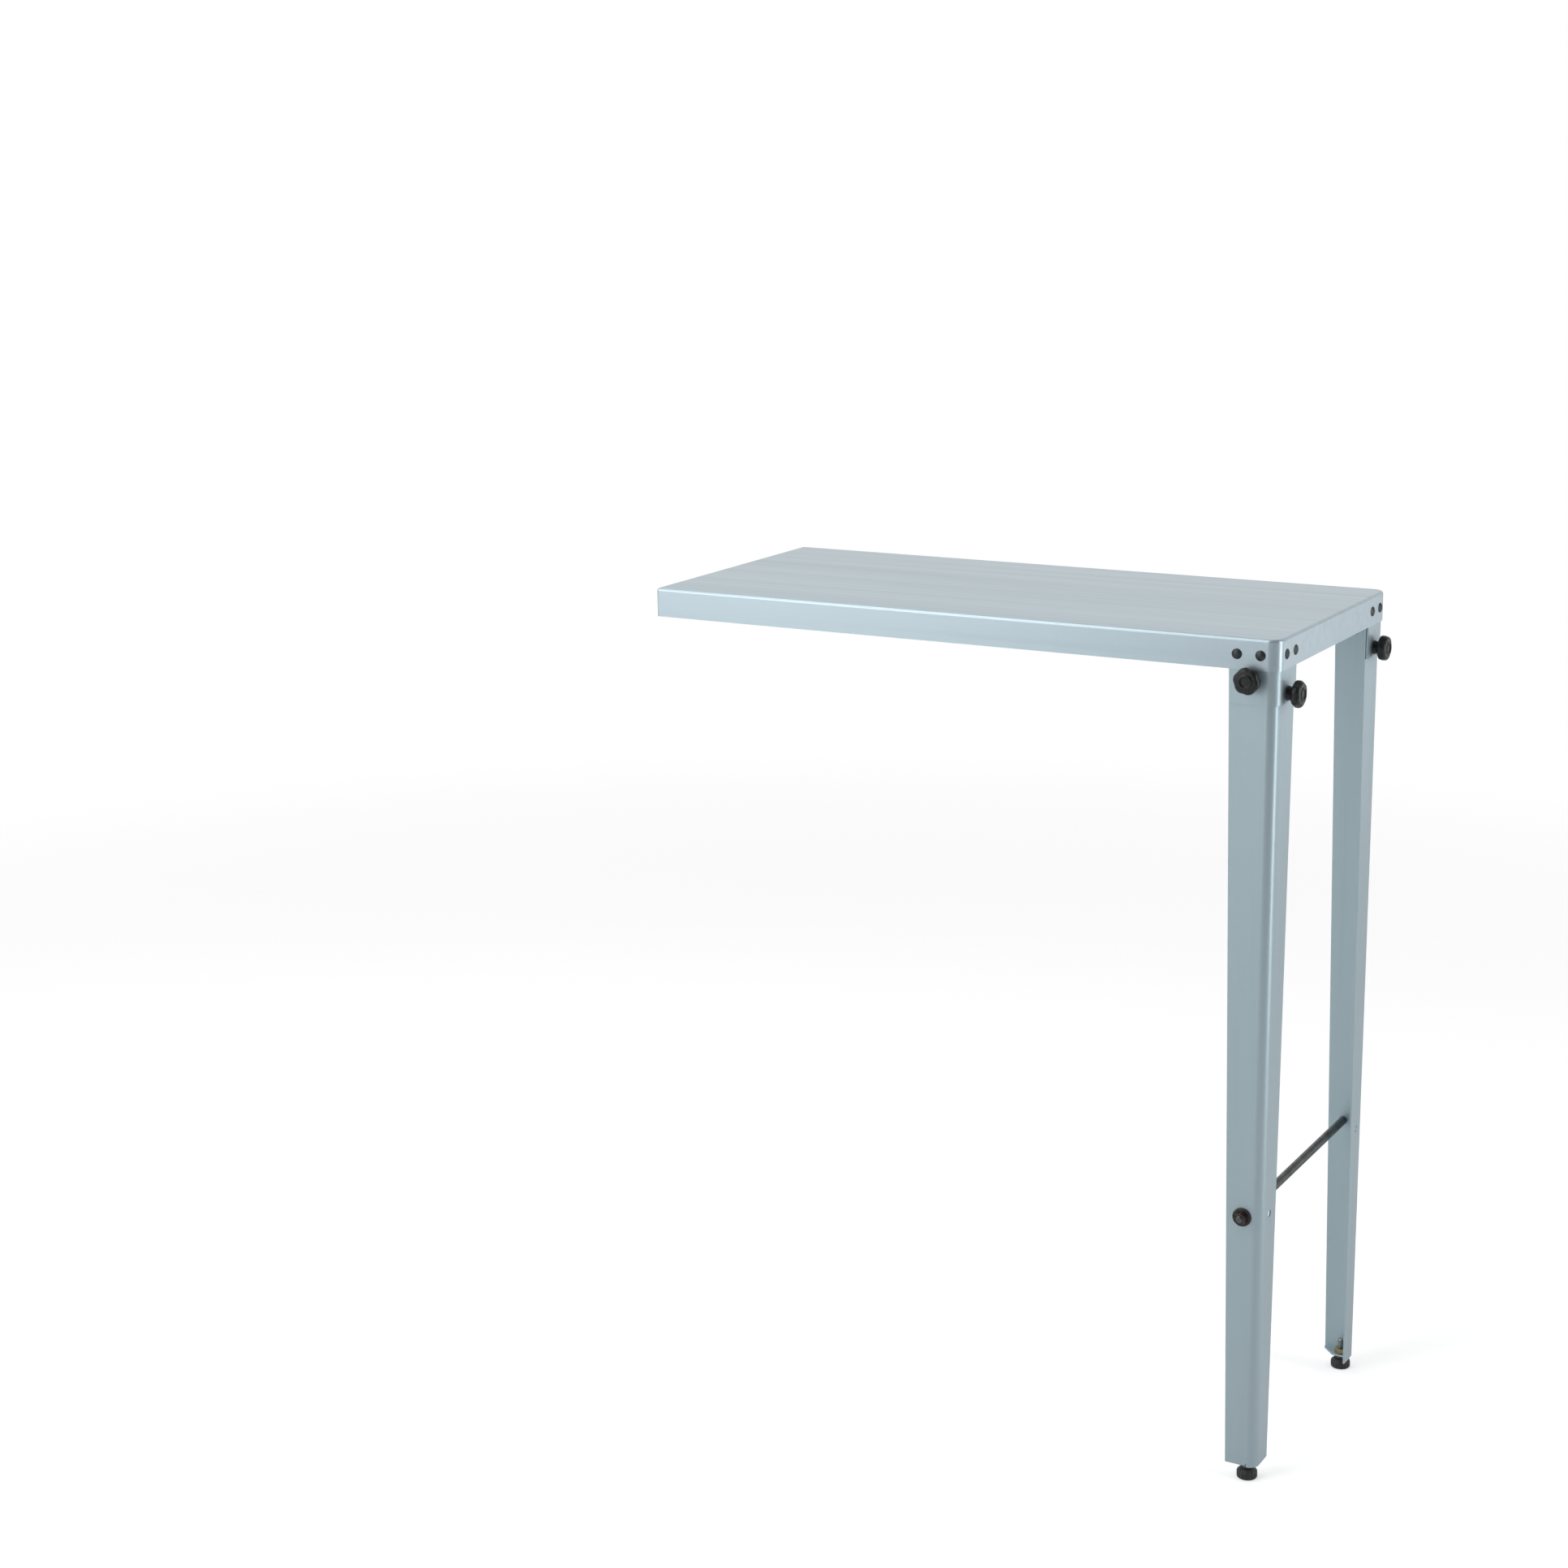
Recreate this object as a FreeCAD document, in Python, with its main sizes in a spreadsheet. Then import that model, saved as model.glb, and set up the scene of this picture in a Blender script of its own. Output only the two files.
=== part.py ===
import FreeCAD, Part
import math
import os

import Sketcher
from FreeCAD import Placement, Rotation, Vector

# Outfeed table: a folded sheet top that hangs from a saw at one end and stands on two
# angle legs at the other. The legs slide in corner brackets and are clamped by knobs.
#
# Frame: origin at the middle of the two saw-end bolt holes, on the outer face of the
# saw-end apron. +X runs along the table to the legs, +Y to its rear side, +Z up.
# All sizes are in millimetres.

# ---------------------------------------------------------------- driving dimensions
DRIVING = {
    # table top
    "length": 760.0,             # saw end to leg end, over the aprons
    "width": 340.0,              # front to rear, over the aprons
    "height": 950.0,             # worktop above the floor
    "apron": 33.5,               # depth of the folded edge
    "sheet": 1.5,                # sheet of the top
    "top_bend": 3.5,             # outer radius of the fold along the top's edges
    "corner_bend": 13.5,         # outer radius of the upright corners at the leg end
    "saw_corner": 2.5,           # outer radius of the upright corners at the saw end
    "saw_hole_drop": 17.5,       # saw-end bolt holes, below the worktop
    "saw_hole_spacing": 250.0,
    "saw_hole_diameter": 8.5,
    # corner brackets
    "plate": 2.0,                # sheet of the brackets and of the legs
    "bracket_flange": 53.0,
    "bracket_bend": 12.5,        # outer radius
    "bracket_drop": 37.0,        # bracket below the apron's edge
    "bracket_headroom": 2.5,     # between the bracket's top and the sheet of the top
    "rivet_drop": 17.4,          # rivet row below the worktop
    "rivet_near": 21.0,          # from the table's outer corner
    "rivet_far": 46.8,
    "rivet_diameter": 6.0,
    "rivet_head_diameter": 11.2,
    "rivet_head_height": 2.4,
    "rivet_countersink": 1.2,    # the rivet's tail is flush in the bracket
    # legs
    "slide_gap": 0.3,            # between bracket and leg, and between leg and washer
    "leg_bend": 11.0,            # outer radius
    "leg_top_flange": 53.0,
    "leg_foot_flange": 35.7,
    "leg_top_drop": 18.0,        # leg's top edge below the worktop
    "tab_level": 16.0,           # leg's foot end, and the tab's underside, above the floor
    "tab_depth": 19.0,
    "tab_cut": 14.5,             # corner cut of the tab, 45 degrees
    "tab_relief": 1.0,           # gap between the tab and the end flange, width of the slit
    "tab_bend": 3.0,             # outer radius
    "travel_up": 6.0,
    "travel_down": 15.0,
    # tie rod
    "rod_diameter": 9.6,
    "rod_thread": 8.0,
    "rod_level": 311.5,          # above the floor
    "rod_inset": 22.9,           # from the leg's outer face
    "rod_hole_diameter": 8.5,
    "rod_end": 1.5,              # thread beyond the nut
    "rod_washer_diameter": 21.0,
    "rod_washer": 2.0,
    "rod_nut_flats": 13.0,
    "rod_nut": 6.5,
    # clamp knobs
    "knob_inset": 31.6,          # from the table's outer corner
    "face_knob_drop": 43.4,      # knobs on the long sides, below the worktop
    "end_knob_drop": 60.8,       # knobs on the end, below the worktop
    "knob_diameter": 29.0,
    "knob_head": 10.0,
    "knob_edge": 2.8,            # rounding of the head's rim
    "knob_boss_diameter": 14.0,
    "knob_boss": 1.2,
    "knob_dimple_diameter": 9.0,
    "knob_scallop_depth": 1.2,
    "knob_scallop_radius": 8.0,
    "knob_lobes": 6.0,
    "hub_diameter": 14.0,
    "hub_root_diameter": 16.0,
    "hub_height": 6.5,
    "stud_diameter": 6.0,
    "stud_reach": 12.0,          # stud beyond the hub's seat
    "stud_insert": 9.0,          # stud inside the hub
    "stud_bevel": 0.75,
    "stud_hole_diameter": 6.6,   # bracket holes, and width of the leg's slots
    "thread_play": 0.05,         # radial, stud in nut
    "clamp_washer_diameter": 14.0,
    "clamp_washer": 1.0,
    "clamp_nut_flats": 10.0,
    "clamp_nut": 4.0,
    # feet
    "foot_side_inset": 10.2,     # foot axis from the outer face of the leg's side flange
    "foot_end_inset": 13.2,      # and from that of its end flange
    "pad_diameter": 23.0,
    "pad_height": 11.0,
    "pad_chamfer": 0.8,
    "pad_shoulder": 3.0,         # height of the sloped shoulder
    "pad_top_diameter": 17.0,
    "foot_thread": 8.0,
    "foot_stud_length": 32.5,
    "foot_stud_bevel": 1.0,
    "foot_stud_insert": 8.0,     # stud inside the pad
    "lock_nut_flats": 13.0,
    "lock_nut": 6.5,
}


class Dim:
    """A size with its value and the expression that ties it to the sheet."""

    def __init__(self, value, text):
        self.value = float(value)
        self.text = text

    def _join(self, other, sign, value, swapped=False):
        other = other if isinstance(other, Dim) else Dim(other, repr(float(other)))
        first, second = (other, self) if swapped else (self, other)
        return Dim(value(first.value, second.value), f"({first.text} {sign} {second.text})")

    def __add__(self, other):
        return self._join(other, "+", lambda a, b: a + b)

    def __radd__(self, other):
        return self._join(other, "+", lambda a, b: a + b, swapped=True)

    def __sub__(self, other):
        return self._join(other, "-", lambda a, b: a - b)

    def __rsub__(self, other):
        return self._join(other, "-", lambda a, b: a - b, swapped=True)

    def __mul__(self, other):
        return self._join(other, "*", lambda a, b: a * b)

    def __truediv__(self, other):
        return self._join(other, "/", lambda a, b: a / b)


class Sizes:
    """The sheet's aliases as attributes, each one a Dim."""


def make_sizes(document):
    """Fill the sheet and return its sizes."""
    sheet = document.addObject("Spreadsheet::Sheet", "sizes")
    sizes = Sizes()
    for row, (alias, value) in enumerate(DRIVING.items(), start=1):
        sheet.set(f"A{row}", alias)
        sheet.set(f"B{row}", str(value))
        sheet.setAlias(f"B{row}", alias)
        setattr(sizes, alias, Dim(value, f"sizes.{alias}"))
    document.recompute()
    return sizes


doc = FreeCAD.newDocument("outfeed_table")
s = make_sizes(doc)
ZERO = Dim(0, "0")

TINY = 1e-4                                     # closer than this counts as equal
OVERSHOOT = 1.0                                 # how far a cutting outline runs past a piece
NUT_CORNER_ANGLE = math.radians(30)             # slope that turns off a nut's corners


# ---------------------------------------------------------------- drawing helpers
def bind(thing, prop, size):
    """Tie a property of an object to a size."""
    if isinstance(size, Dim):
        thing.setExpression(prop, size.text)
    else:
        setattr(thing, prop, size)


def place(thing, x, y, z, rotation=None):
    """Put an object at x, y, z, turned by rotation."""
    rotation = rotation or Rotation()
    thing.Placement = Placement(Vector(x.value, y.value, z.value), rotation)
    for axis, size in (("x", x), ("y", y), ("z", z)):
        thing.setExpression(f"Placement.Base.{axis}", size.text)
    return thing


def new_body(label):
    """Make an empty body with its own label."""
    body = doc.addObject("PartDesign::Body", label)
    body.Label = label
    return body


def new_sketch(body, name, plane, lift=None):
    """Make a sketch on an origin plane of the body, lifted along the plane's normal."""
    sketch = body.newObject("Sketcher::SketchObject", f"{body.Name}_{name}")
    planes = {feature.Role: feature for feature in body.Origin.OriginFeatures}
    sketch.AttachmentSupport = [(planes[plane], "")]
    sketch.MapMode = "FlatFace"
    if lift is not None:
        sketch.AttachmentOffset = Placement(Vector(0, 0, lift.value), Rotation())
        sketch.setExpression("AttachmentOffset.Base.z", lift.text)
    return sketch


def fix_point(sketch, geometry, point, x, y):
    """Hold a point of the sketch at x, y."""
    for kind, size, axis in (("DistanceX", x, -2), ("DistanceY", y, -1)):
        if size.value == 0:
            sketch.addConstraint(Sketcher.Constraint("PointOnObject", geometry, point, axis))
            continue
        index = sketch.addConstraint(
            Sketcher.Constraint(kind, -1, 1, geometry, point, size.value))
        sketch.setExpression(f"Constraints[{index}]", size.text)


def fix_radius(sketch, geometry, radius):
    """Hold the radius of a circle or arc."""
    index = sketch.addConstraint(Sketcher.Constraint("Radius", geometry, radius.value))
    sketch.setExpression(f"Constraints[{index}]", radius.text)


def draw_outline(sketch, points):
    """Draw a closed outline of straight lines through the points."""
    count = len(points)
    corners = [Vector(x.value, y.value, 0) for x, y in points]
    first = sketch.GeometryCount
    for i in range(count):
        sketch.addGeometry(Part.LineSegment(corners[i], corners[(i + 1) % count]))
    for i in range(count):
        sketch.addConstraint(
            Sketcher.Constraint("Coincident", first + i, 2, first + (i + 1) % count, 1))
    for i, (x, y) in enumerate(points):
        fix_point(sketch, first + i, 1, x, y)


def draw_circle(sketch, x, y, radius):
    """Draw a circle."""
    centre = Vector(x.value, y.value, 0)
    index = sketch.addGeometry(Part.Circle(centre, Vector(0, 0, 1), radius.value))
    fix_point(sketch, index, 3, x, y)
    fix_radius(sketch, index, radius)


def draw_slot(sketch, x, low, high, radius):
    """Draw an upright slot whose end arcs are centred at the heights low and high."""
    half = radius.value
    ends = [Vector(x.value, low.value, 0), Vector(x.value, high.value, 0)]
    up = Vector(0, 0, 1)
    bottom = sketch.addGeometry(
        Part.ArcOfCircle(Part.Circle(ends[0], up, half), math.pi, 2 * math.pi))
    right = sketch.addGeometry(
        Part.LineSegment(ends[0] + Vector(half, 0, 0), ends[1] + Vector(half, 0, 0)))
    top = sketch.addGeometry(Part.ArcOfCircle(Part.Circle(ends[1], up, half), 0, math.pi))
    left = sketch.addGeometry(
        Part.LineSegment(ends[1] - Vector(half, 0, 0), ends[0] - Vector(half, 0, 0)))
    for first, second in ((bottom, right), (right, top), (top, left), (left, bottom)):
        sketch.addConstraint(Sketcher.Constraint("Tangent", first, 2, second, 1))
    fix_point(sketch, bottom, 3, x, low)
    fix_point(sketch, top, 3, x, high)
    fix_radius(sketch, bottom, radius)


def draw_dome(sketch, radius, height):
    """Draw half of a round dome: its flat base on the X axis, its top on the Y axis."""
    ball = (radius.value ** 2 + height.value ** 2) / (2 * height.value)
    centre = Vector(0, height.value - ball, 0)
    start = math.atan2(-centre.y, radius.value)
    arc = sketch.addGeometry(Part.ArcOfCircle(
        Part.Circle(centre, Vector(0, 0, 1), ball), start, math.pi / 2))
    axis = sketch.addGeometry(Part.LineSegment(Vector(0, height.value, 0), Vector(0, 0, 0)))
    base = sketch.addGeometry(Part.LineSegment(Vector(0, 0, 0), Vector(radius.value, 0, 0)))
    for first, second in ((arc, axis), (axis, base), (base, arc)):
        sketch.addConstraint(Sketcher.Constraint("Coincident", first, 2, second, 1))
    sketch.addConstraint(Sketcher.Constraint("PointOnObject", arc, 3, -2))
    fix_point(sketch, axis, 1, ZERO, height)
    fix_point(sketch, base, 1, ZERO, ZERO)
    fix_point(sketch, base, 2, radius, ZERO)


def pad(body, sketch, length):
    """Add the sketch's outline, length thick, along the sketch's normal."""
    feature = body.newObject("PartDesign::Pad", f"{sketch.Name}_pad")
    feature.Profile = sketch
    bind(feature, "Length", length)
    doc.recompute()
    return feature


def pocket(body, sketch, depth=None, flip=False):
    """Cut the sketch's outline out of the body, right through if no depth is given."""
    before = body.Shape.Volume
    feature = body.newObject("PartDesign::Pocket", f"{sketch.Name}_pocket")
    feature.Profile = sketch
    feature.Reversed = flip
    if depth is None:
        feature.Type = "ThroughAll"
    else:
        bind(feature, "Length", depth)
    doc.recompute()
    if body.Shape.Volume >= before - TINY:
        raise RuntimeError(f"{feature.Name} cuts nothing")
    return feature


def revolve(body, sketch):
    """Turn the sketch about the body's Z axis, which is the sketch's upright axis."""
    feature = body.newObject("PartDesign::Revolution", f"{sketch.Name}_turned")
    feature.Profile = sketch
    feature.ReferenceAxis = (sketch, ["V_Axis"])
    feature.Angle = 360.0
    doc.recompute()
    return feature


def names(shape, kind, test):
    """Names of the shape's edges or faces that pass the test."""
    items = shape.Edges if kind == "Edge" else shape.Faces
    return [f"{kind}{i}" for i, item in enumerate(items, start=1) if test(item)]


def dress(body, kind, name, test, size):
    """Round or bevel the body's edges that pass the test."""
    base, edges = body.Tip, names(body.Shape, "Edge", test)
    feature = body.newObject(f"PartDesign::{kind}", f"{body.Name}_{name}")
    feature.Base = (base, edges)
    bind(feature, "Radius" if kind == "Fillet" else "Size", size)
    doc.recompute()
    return feature


def near(value, size):
    """True if a coordinate is at a size."""
    return abs(value - (size.value if isinstance(size, Dim) else size)) < TINY


def is_upright(edge):
    """True for a straight edge along Z."""
    box = edge.BoundBox
    return box.XLength < TINY and box.YLength < TINY


def group(label, template, places):
    """A set of equal, separate pieces: links to one template, at several places."""
    links = []
    for number, (x, y, z, rotation) in enumerate(places, start=1):
        link = doc.addObject("App::Link", f"{label}_{number}")
        link.LinkedObject = template
        place(link, x, y, z, rotation)
        links.append(link)
    compound = doc.addObject("Part::Compound", label)
    compound.Label = label
    compound.Links = links
    doc.recompute()
    return compound


def turned_body(label, profile):
    """A turned piece about Z: the profile lists radius and height, from the axis round."""
    body = new_body(label)
    sketch = new_sketch(body, "profile", "XZ_Plane")
    draw_outline(sketch, profile)
    revolve(body, sketch)
    return body


def hex_nut(label, flats, thickness, bore_radius):
    """A hexagon nut about Z, seated on z = 0, with its outer corners turned off."""
    body = new_body(label)
    sketch = new_sketch(body, "hexagon", "XY_Plane")
    half = flats / 2
    corner = flats / math.sqrt(3)
    slope = corner / 2
    draw_outline(sketch, [
        (corner, ZERO), (slope, half), (ZERO - slope, half),
        (ZERO - corner, ZERO), (ZERO - slope, ZERO - half), (slope, ZERO - half)])
    draw_circle(sketch, ZERO, ZERO, bore_radius)
    pad(body, sketch, thickness)
    cut = new_sketch(body, "corner_cut", "XZ_Plane")
    bevel = (corner - half) * math.tan(NUT_CORNER_ANGLE)
    outside = corner + OVERSHOOT
    for low, high in ((ZERO, bevel), (thickness, thickness - bevel)):
        draw_outline(cut, [(half, low), (outside, low), (outside, high), (corner, high)])
    groove = body.newObject("PartDesign::Groove", f"{label}_groove")
    groove.Profile = cut
    groove.ReferenceAxis = (cut, ["V_Axis"])
    groove.Angle = 360.0
    doc.recompute()
    return body


def washer(label, diameter, hole, thickness):
    """A flat washer about Z, seated on z = 0."""
    body = new_body(label)
    sketch = new_sketch(body, "ring", "XY_Plane")
    draw_circle(sketch, ZERO, ZERO, diameter / 2)
    draw_circle(sketch, ZERO, ZERO, hole / 2)
    pad(body, sketch, thickness)
    return body


# ---------------------------------------------------------------- levels and directions
WORKTOP = s.saw_hole_drop                       # z of the worktop
FLOOR = WORKTOP - s.height                      # z of the floor
REAR_FACE = s.width / 2                         # y of the rear apron's outer face
FRONT_FACE = ZERO - REAR_FACE
LEG_FACE = s.sheet + s.plate + s.slide_gap      # leg's outer faces, inside the table's
LEG_INSIDE = LEG_FACE + s.plate
FOLD_HEIGHT = s.tab_bend + s.tab_relief         # leg's foot end that stays untapered
WASHER_SEAT = LEG_INSIDE + s.slide_gap          # clamp washers, inside the table's faces

# Turns that bring a piece's own +Z to the way it faces.
FACING = {
    "front": Rotation(Vector(1, 0, 0), 90),
    "rear": Rotation(Vector(1, 0, 0), -90),
    "end": Rotation(Vector(0, 1, 0), 90),
}
# The same for pieces that point into the table.
INWARD = {
    "front": Rotation(Vector(1, 0, 0), -90),
    "rear": Rotation(Vector(1, 0, 0), 90),
    "end": Rotation(Vector(0, 1, 0), -90),
}
# Angle plates are drawn with their outer corner on the Z axis, one flange along +X and
# one along +Y. These turns bring them to the two corners of the leg end.
CORNERS = {
    "front": Rotation(Vector(0, 0, 1), 90),     # +X flange to the end, +Y flange to the front
    "rear": Rotation(Vector(0, 0, 1), 180),     # +X flange to the rear, +Y flange to the end
}


def on_face(corner, side, across, depth, z):
    """Point on a side of the table near a corner: across from the corner, depth inside."""
    rear = corner == "rear"
    if side == "end":
        y = REAR_FACE - across if rear else FRONT_FACE + across
        return s.length - depth, y, z
    y = REAR_FACE - depth if rear else FRONT_FACE + depth
    return s.length - across, y, z


def sides(corner):
    """The long side and the end of a corner, as facing names."""
    return corner, "end"


# ---------------------------------------------------------------- table top
def make_table_top():
    """The folded pan: a flat sheet with an apron on all four sides."""
    body = new_body("table_top")
    plan = new_sketch(body, "plan", "XY_Plane")
    draw_outline(plan, [(ZERO, ZERO), (s.length, ZERO), (s.length, s.width), (ZERO, s.width)])
    pad(body, plan, s.apron)
    dress(body, "Fillet", "leg_corners",
          lambda e: is_upright(e) and near(e.BoundBox.XMin, s.length), s.corner_bend)
    dress(body, "Fillet", "saw_corners",
          lambda e: is_upright(e) and near(e.BoundBox.XMin, 0), s.saw_corner)
    dress(body, "Fillet", "top_edges",
          lambda e: near(e.BoundBox.ZMin, s.apron) and near(e.BoundBox.ZMax, s.apron),
          s.top_bend)
    base, open_face = body.Tip, names(body.Shape, "Face", lambda f: near(f.BoundBox.ZMax, 0))
    hollow = body.newObject("PartDesign::Thickness", "table_top_hollow")
    hollow.Base = (base, open_face)
    bind(hollow, "Value", s.sheet)
    hollow.Reversed = True
    hollow.Join = 0
    doc.recompute()

    row = s.apron - s.rivet_drop
    radius = s.rivet_diameter / 2
    long_sides = new_sketch(body, "long_side_holes", "XZ_Plane")
    for across in (s.rivet_near, s.rivet_far):
        draw_circle(long_sides, s.length - across, row, radius)
    pocket(body, long_sides)
    end = new_sketch(body, "end_holes", "YZ_Plane", lift=s.length)
    for across in (s.rivet_near, s.rivet_far):
        draw_circle(end, across, row, radius)
        draw_circle(end, s.width - across, row, radius)
    pocket(body, end, depth=s.sheet * 2)
    saw = new_sketch(body, "saw_holes", "YZ_Plane")
    for y in (s.width / 2 - s.saw_hole_spacing / 2, s.width / 2 + s.saw_hole_spacing / 2):
        draw_circle(saw, y, s.apron - s.saw_hole_drop, s.saw_hole_diameter / 2)
    pocket(body, saw, depth=s.sheet * 2, flip=True)
    return place(body, ZERO, FRONT_FACE, WORKTOP - s.apron)


# ---------------------------------------------------------------- angle plates
def draw_angle(body, flange, plate, height, bend):
    """Fold an upright angle plate with equal flanges."""
    plan = new_sketch(body, "plan", "XY_Plane")
    draw_outline(plan, [
        (ZERO, ZERO), (flange, ZERO), (flange, plate),
        (plate, plate), (plate, flange), (ZERO, flange)])
    pad(body, plan, height)
    dress(body, "Fillet", "inner_bend",
          lambda e: is_upright(e) and near(e.BoundBox.XMin, plate)
          and near(e.BoundBox.YMin, plate), bend - plate)
    dress(body, "Fillet", "outer_bend",
          lambda e: is_upright(e) and near(e.BoundBox.XMin, 0)
          and near(e.BoundBox.YMin, 0), bend)


def knob_drop(side):
    """Depth of a side's knob below the worktop."""
    return s.end_knob_drop if side == "end" else s.face_knob_drop


def flange_planes(corner):
    """Each side of a corner with the plane that its flange is drawn on, and the flip."""
    if corner == "front":
        return (("end", "XZ_Plane", False), ("front", "YZ_Plane", True))
    return (("rear", "XZ_Plane", False), ("end", "YZ_Plane", True))


def make_bracket(corner):
    """Corner bracket: riveted inside the aprons, it guides the leg below them."""
    label = f"{corner}_corner_bracket"
    body = new_body(label)
    reach = s.apron + s.bracket_drop
    height = reach - s.sheet - s.bracket_headroom
    draw_angle(body, s.bracket_flange, s.plate, height, s.bracket_bend)
    for side, plane, flip in flange_planes(corner):
        rivets = new_sketch(body, f"{side}_rivet_holes", plane)
        for across in (s.rivet_near, s.rivet_far):
            draw_circle(rivets, across - s.sheet, reach - s.rivet_drop, s.rivet_diameter / 2)
        pocket(body, rivets, flip=flip)
        hole = new_sketch(body, f"{side}_knob_hole", plane)
        draw_circle(hole, s.knob_inset - s.sheet, reach - knob_drop(side),
                    s.stud_hole_diameter / 2)
        pocket(body, hole, flip=flip)
    rivet_radius = s.rivet_diameter / 2
    dress(body, "Chamfer", "countersinks",
          lambda e: isinstance(e.Curve, Part.Circle) and near(e.Curve.Radius, rivet_radius)
          and (near(e.BoundBox.XMin, s.plate) and near(e.BoundBox.XMax, s.plate)
               or near(e.BoundBox.YMin, s.plate) and near(e.BoundBox.YMax, s.plate)),
          s.rivet_countersink)
    y = REAR_FACE - s.sheet if corner == "rear" else FRONT_FACE + s.sheet
    return place(body, s.length - s.sheet, y, WORKTOP - reach, CORNERS[corner])


def make_leg(corner):
    """Tapered angle leg with a foot tab folded in from its side flange."""
    label = f"{corner}_leg"
    body = new_body(label)
    height = s.height - s.leg_top_drop - s.tab_level
    draw_angle(body, s.leg_top_flange, s.plate, height, s.leg_bend)
    outside = s.leg_top_flange + OVERSHOOT
    for side, plane, flip in flange_planes(corner):
        taper = new_sketch(body, f"{side}_taper", plane)
        draw_outline(taper, [
            (s.leg_foot_flange, ZERO), (outside, ZERO), (outside, height),
            (s.leg_top_flange, height), (s.leg_foot_flange, FOLD_HEIGHT)])
        pocket(body, taper, flip=flip)
        slot = new_sketch(body, f"{side}_slot", plane)
        knob = s.height - knob_drop(side) - s.tab_level
        draw_slot(slot, s.knob_inset - LEG_FACE, knob - s.travel_up, knob + s.travel_down,
                  s.stud_hole_diameter / 2)
        pocket(body, slot, flip=flip)
        rod_hole = new_sketch(body, f"{side}_rod_hole", plane)
        draw_circle(rod_hole, s.rod_inset, s.rod_level - s.tab_level, s.rod_hole_diameter / 2)
        pocket(body, rod_hole, flip=flip)
    add_foot_tab(body, corner)
    y = REAR_FACE - LEG_FACE if corner == "rear" else FRONT_FACE + LEG_FACE
    return place(body, s.length - LEG_FACE, y, FLOOR + s.tab_level, CORNERS[corner])


def add_foot_tab(body, corner):
    """Fold the tab in from the side flange, with its hole for the foot."""
    def turned(*points):
        """Plan points given as along the side flange and across it, for this corner."""
        return [(across, along) if corner == "front" else (along, across)
                for along, across in points]

    edge = s.leg_bend + s.tab_relief
    slit = new_sketch(body, "bend_slit", "XY_Plane")
    draw_outline(slit, turned((s.leg_bend, ZERO), (edge, ZERO), (edge, s.plate),
                              (s.leg_bend, s.plate)))
    pocket(body, slit, depth=FOLD_HEIGHT, flip=True)
    start = s.plate + s.tab_relief
    tab = new_sketch(body, "tab", "XY_Plane")
    draw_outline(tab, turned(
        (edge, ZERO), (s.leg_foot_flange, ZERO),
        (s.leg_foot_flange, s.tab_depth - s.tab_cut),
        (s.leg_foot_flange - s.tab_cut, s.tab_depth),
        (start, s.tab_depth), (start, s.leg_bend), (edge, FOLD_HEIGHT)))
    pad(body, tab, s.plate)
    hole = new_sketch(body, "foot_hole", "XY_Plane")
    (x, y), = turned((s.foot_end_inset, s.foot_side_inset))
    draw_circle(hole, x, y, s.foot_thread / 2 + s.thread_play)
    pocket(body, hole, depth=s.plate * 2, flip=True)

    def is_fold(edge):
        box = edge.BoundBox
        low, high = (box.XMin, box.XMax) if corner == "front" else (box.YMin, box.YMax)
        return box.ZLength < TINY and near(box.ZMin, 0) and near(low, 0) and near(high, 0)

    dress(body, "Fillet", "tab_bend", is_fold, s.tab_bend)


# ---------------------------------------------------------------- rivets
def make_rivet():
    """Dome-headed rivet about Z, its head seated on z = 0 and its tail countersunk."""
    grip = s.sheet + s.plate
    radius = s.rivet_diameter / 2
    tail = radius + s.rivet_countersink
    body = turned_body("rivet", [
        (ZERO, ZERO), (ZERO, ZERO - grip), (tail, ZERO - grip),
        (radius, s.rivet_countersink - grip), (radius, ZERO)])
    dome = new_sketch(body, "dome", "XZ_Plane")
    draw_dome(dome, s.rivet_head_diameter / 2, s.rivet_head_height)
    revolve(body, dome)
    return body


def make_rivets(corner, rivet):
    """The four rivets of a corner."""
    places = []
    for side in sides(corner):
        for across in (s.rivet_near, s.rivet_far):
            x, y, z = on_face(corner, side, across, ZERO, WORKTOP - s.rivet_drop)
            places.append((x, y, z, FACING[side]))
    return group(f"{corner}_corner_rivets", rivet, places)


# ---------------------------------------------------------------- tie rod
def make_tie_rod():
    """Shouldered rod between the legs, threaded where it passes through them."""
    inside = s.width - LEG_INSIDE * 2
    thread = s.plate + s.rod_washer + s.rod_nut + s.rod_end
    body_radius = s.rod_diameter / 2
    thread_radius = s.rod_thread / 2
    point = thread_radius - s.rod_end / 2
    body = turned_body("tie_rod", [
        (ZERO, ZERO), (point, ZERO), (thread_radius, s.rod_end / 2), (thread_radius, thread),
        (body_radius, thread), (body_radius, thread + inside),
        (thread_radius, thread + inside),
        (thread_radius, thread * 2 + inside - s.rod_end / 2),
        (point, thread * 2 + inside), (ZERO, thread * 2 + inside)])
    x = s.length - LEG_FACE - s.rod_inset
    return place(body, x, FRONT_FACE + LEG_INSIDE - thread, FLOOR + s.rod_level,
                 INWARD["front"])


def make_rod_fasteners():
    """Washers and nuts outside the legs."""
    disc = washer("rod_washer", s.rod_washer_diameter, s.rod_hole_diameter, s.rod_washer)
    nut = hex_nut("rod_nut", s.rod_nut_flats, s.rod_nut, s.rod_thread / 2)
    z = FLOOR + s.rod_level
    across = LEG_FACE + s.rod_inset
    discs, nuts = [], []
    for corner in ("front", "rear"):
        discs.append((*on_face(corner, corner, across, LEG_FACE, z), FACING[corner]))
        seat = LEG_FACE - s.rod_washer
        nuts.append((*on_face(corner, corner, across, seat, z), FACING[corner]))
    return [group("tie_rod_washers", disc, discs), group("tie_rod_nuts", nut, nuts)]


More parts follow.
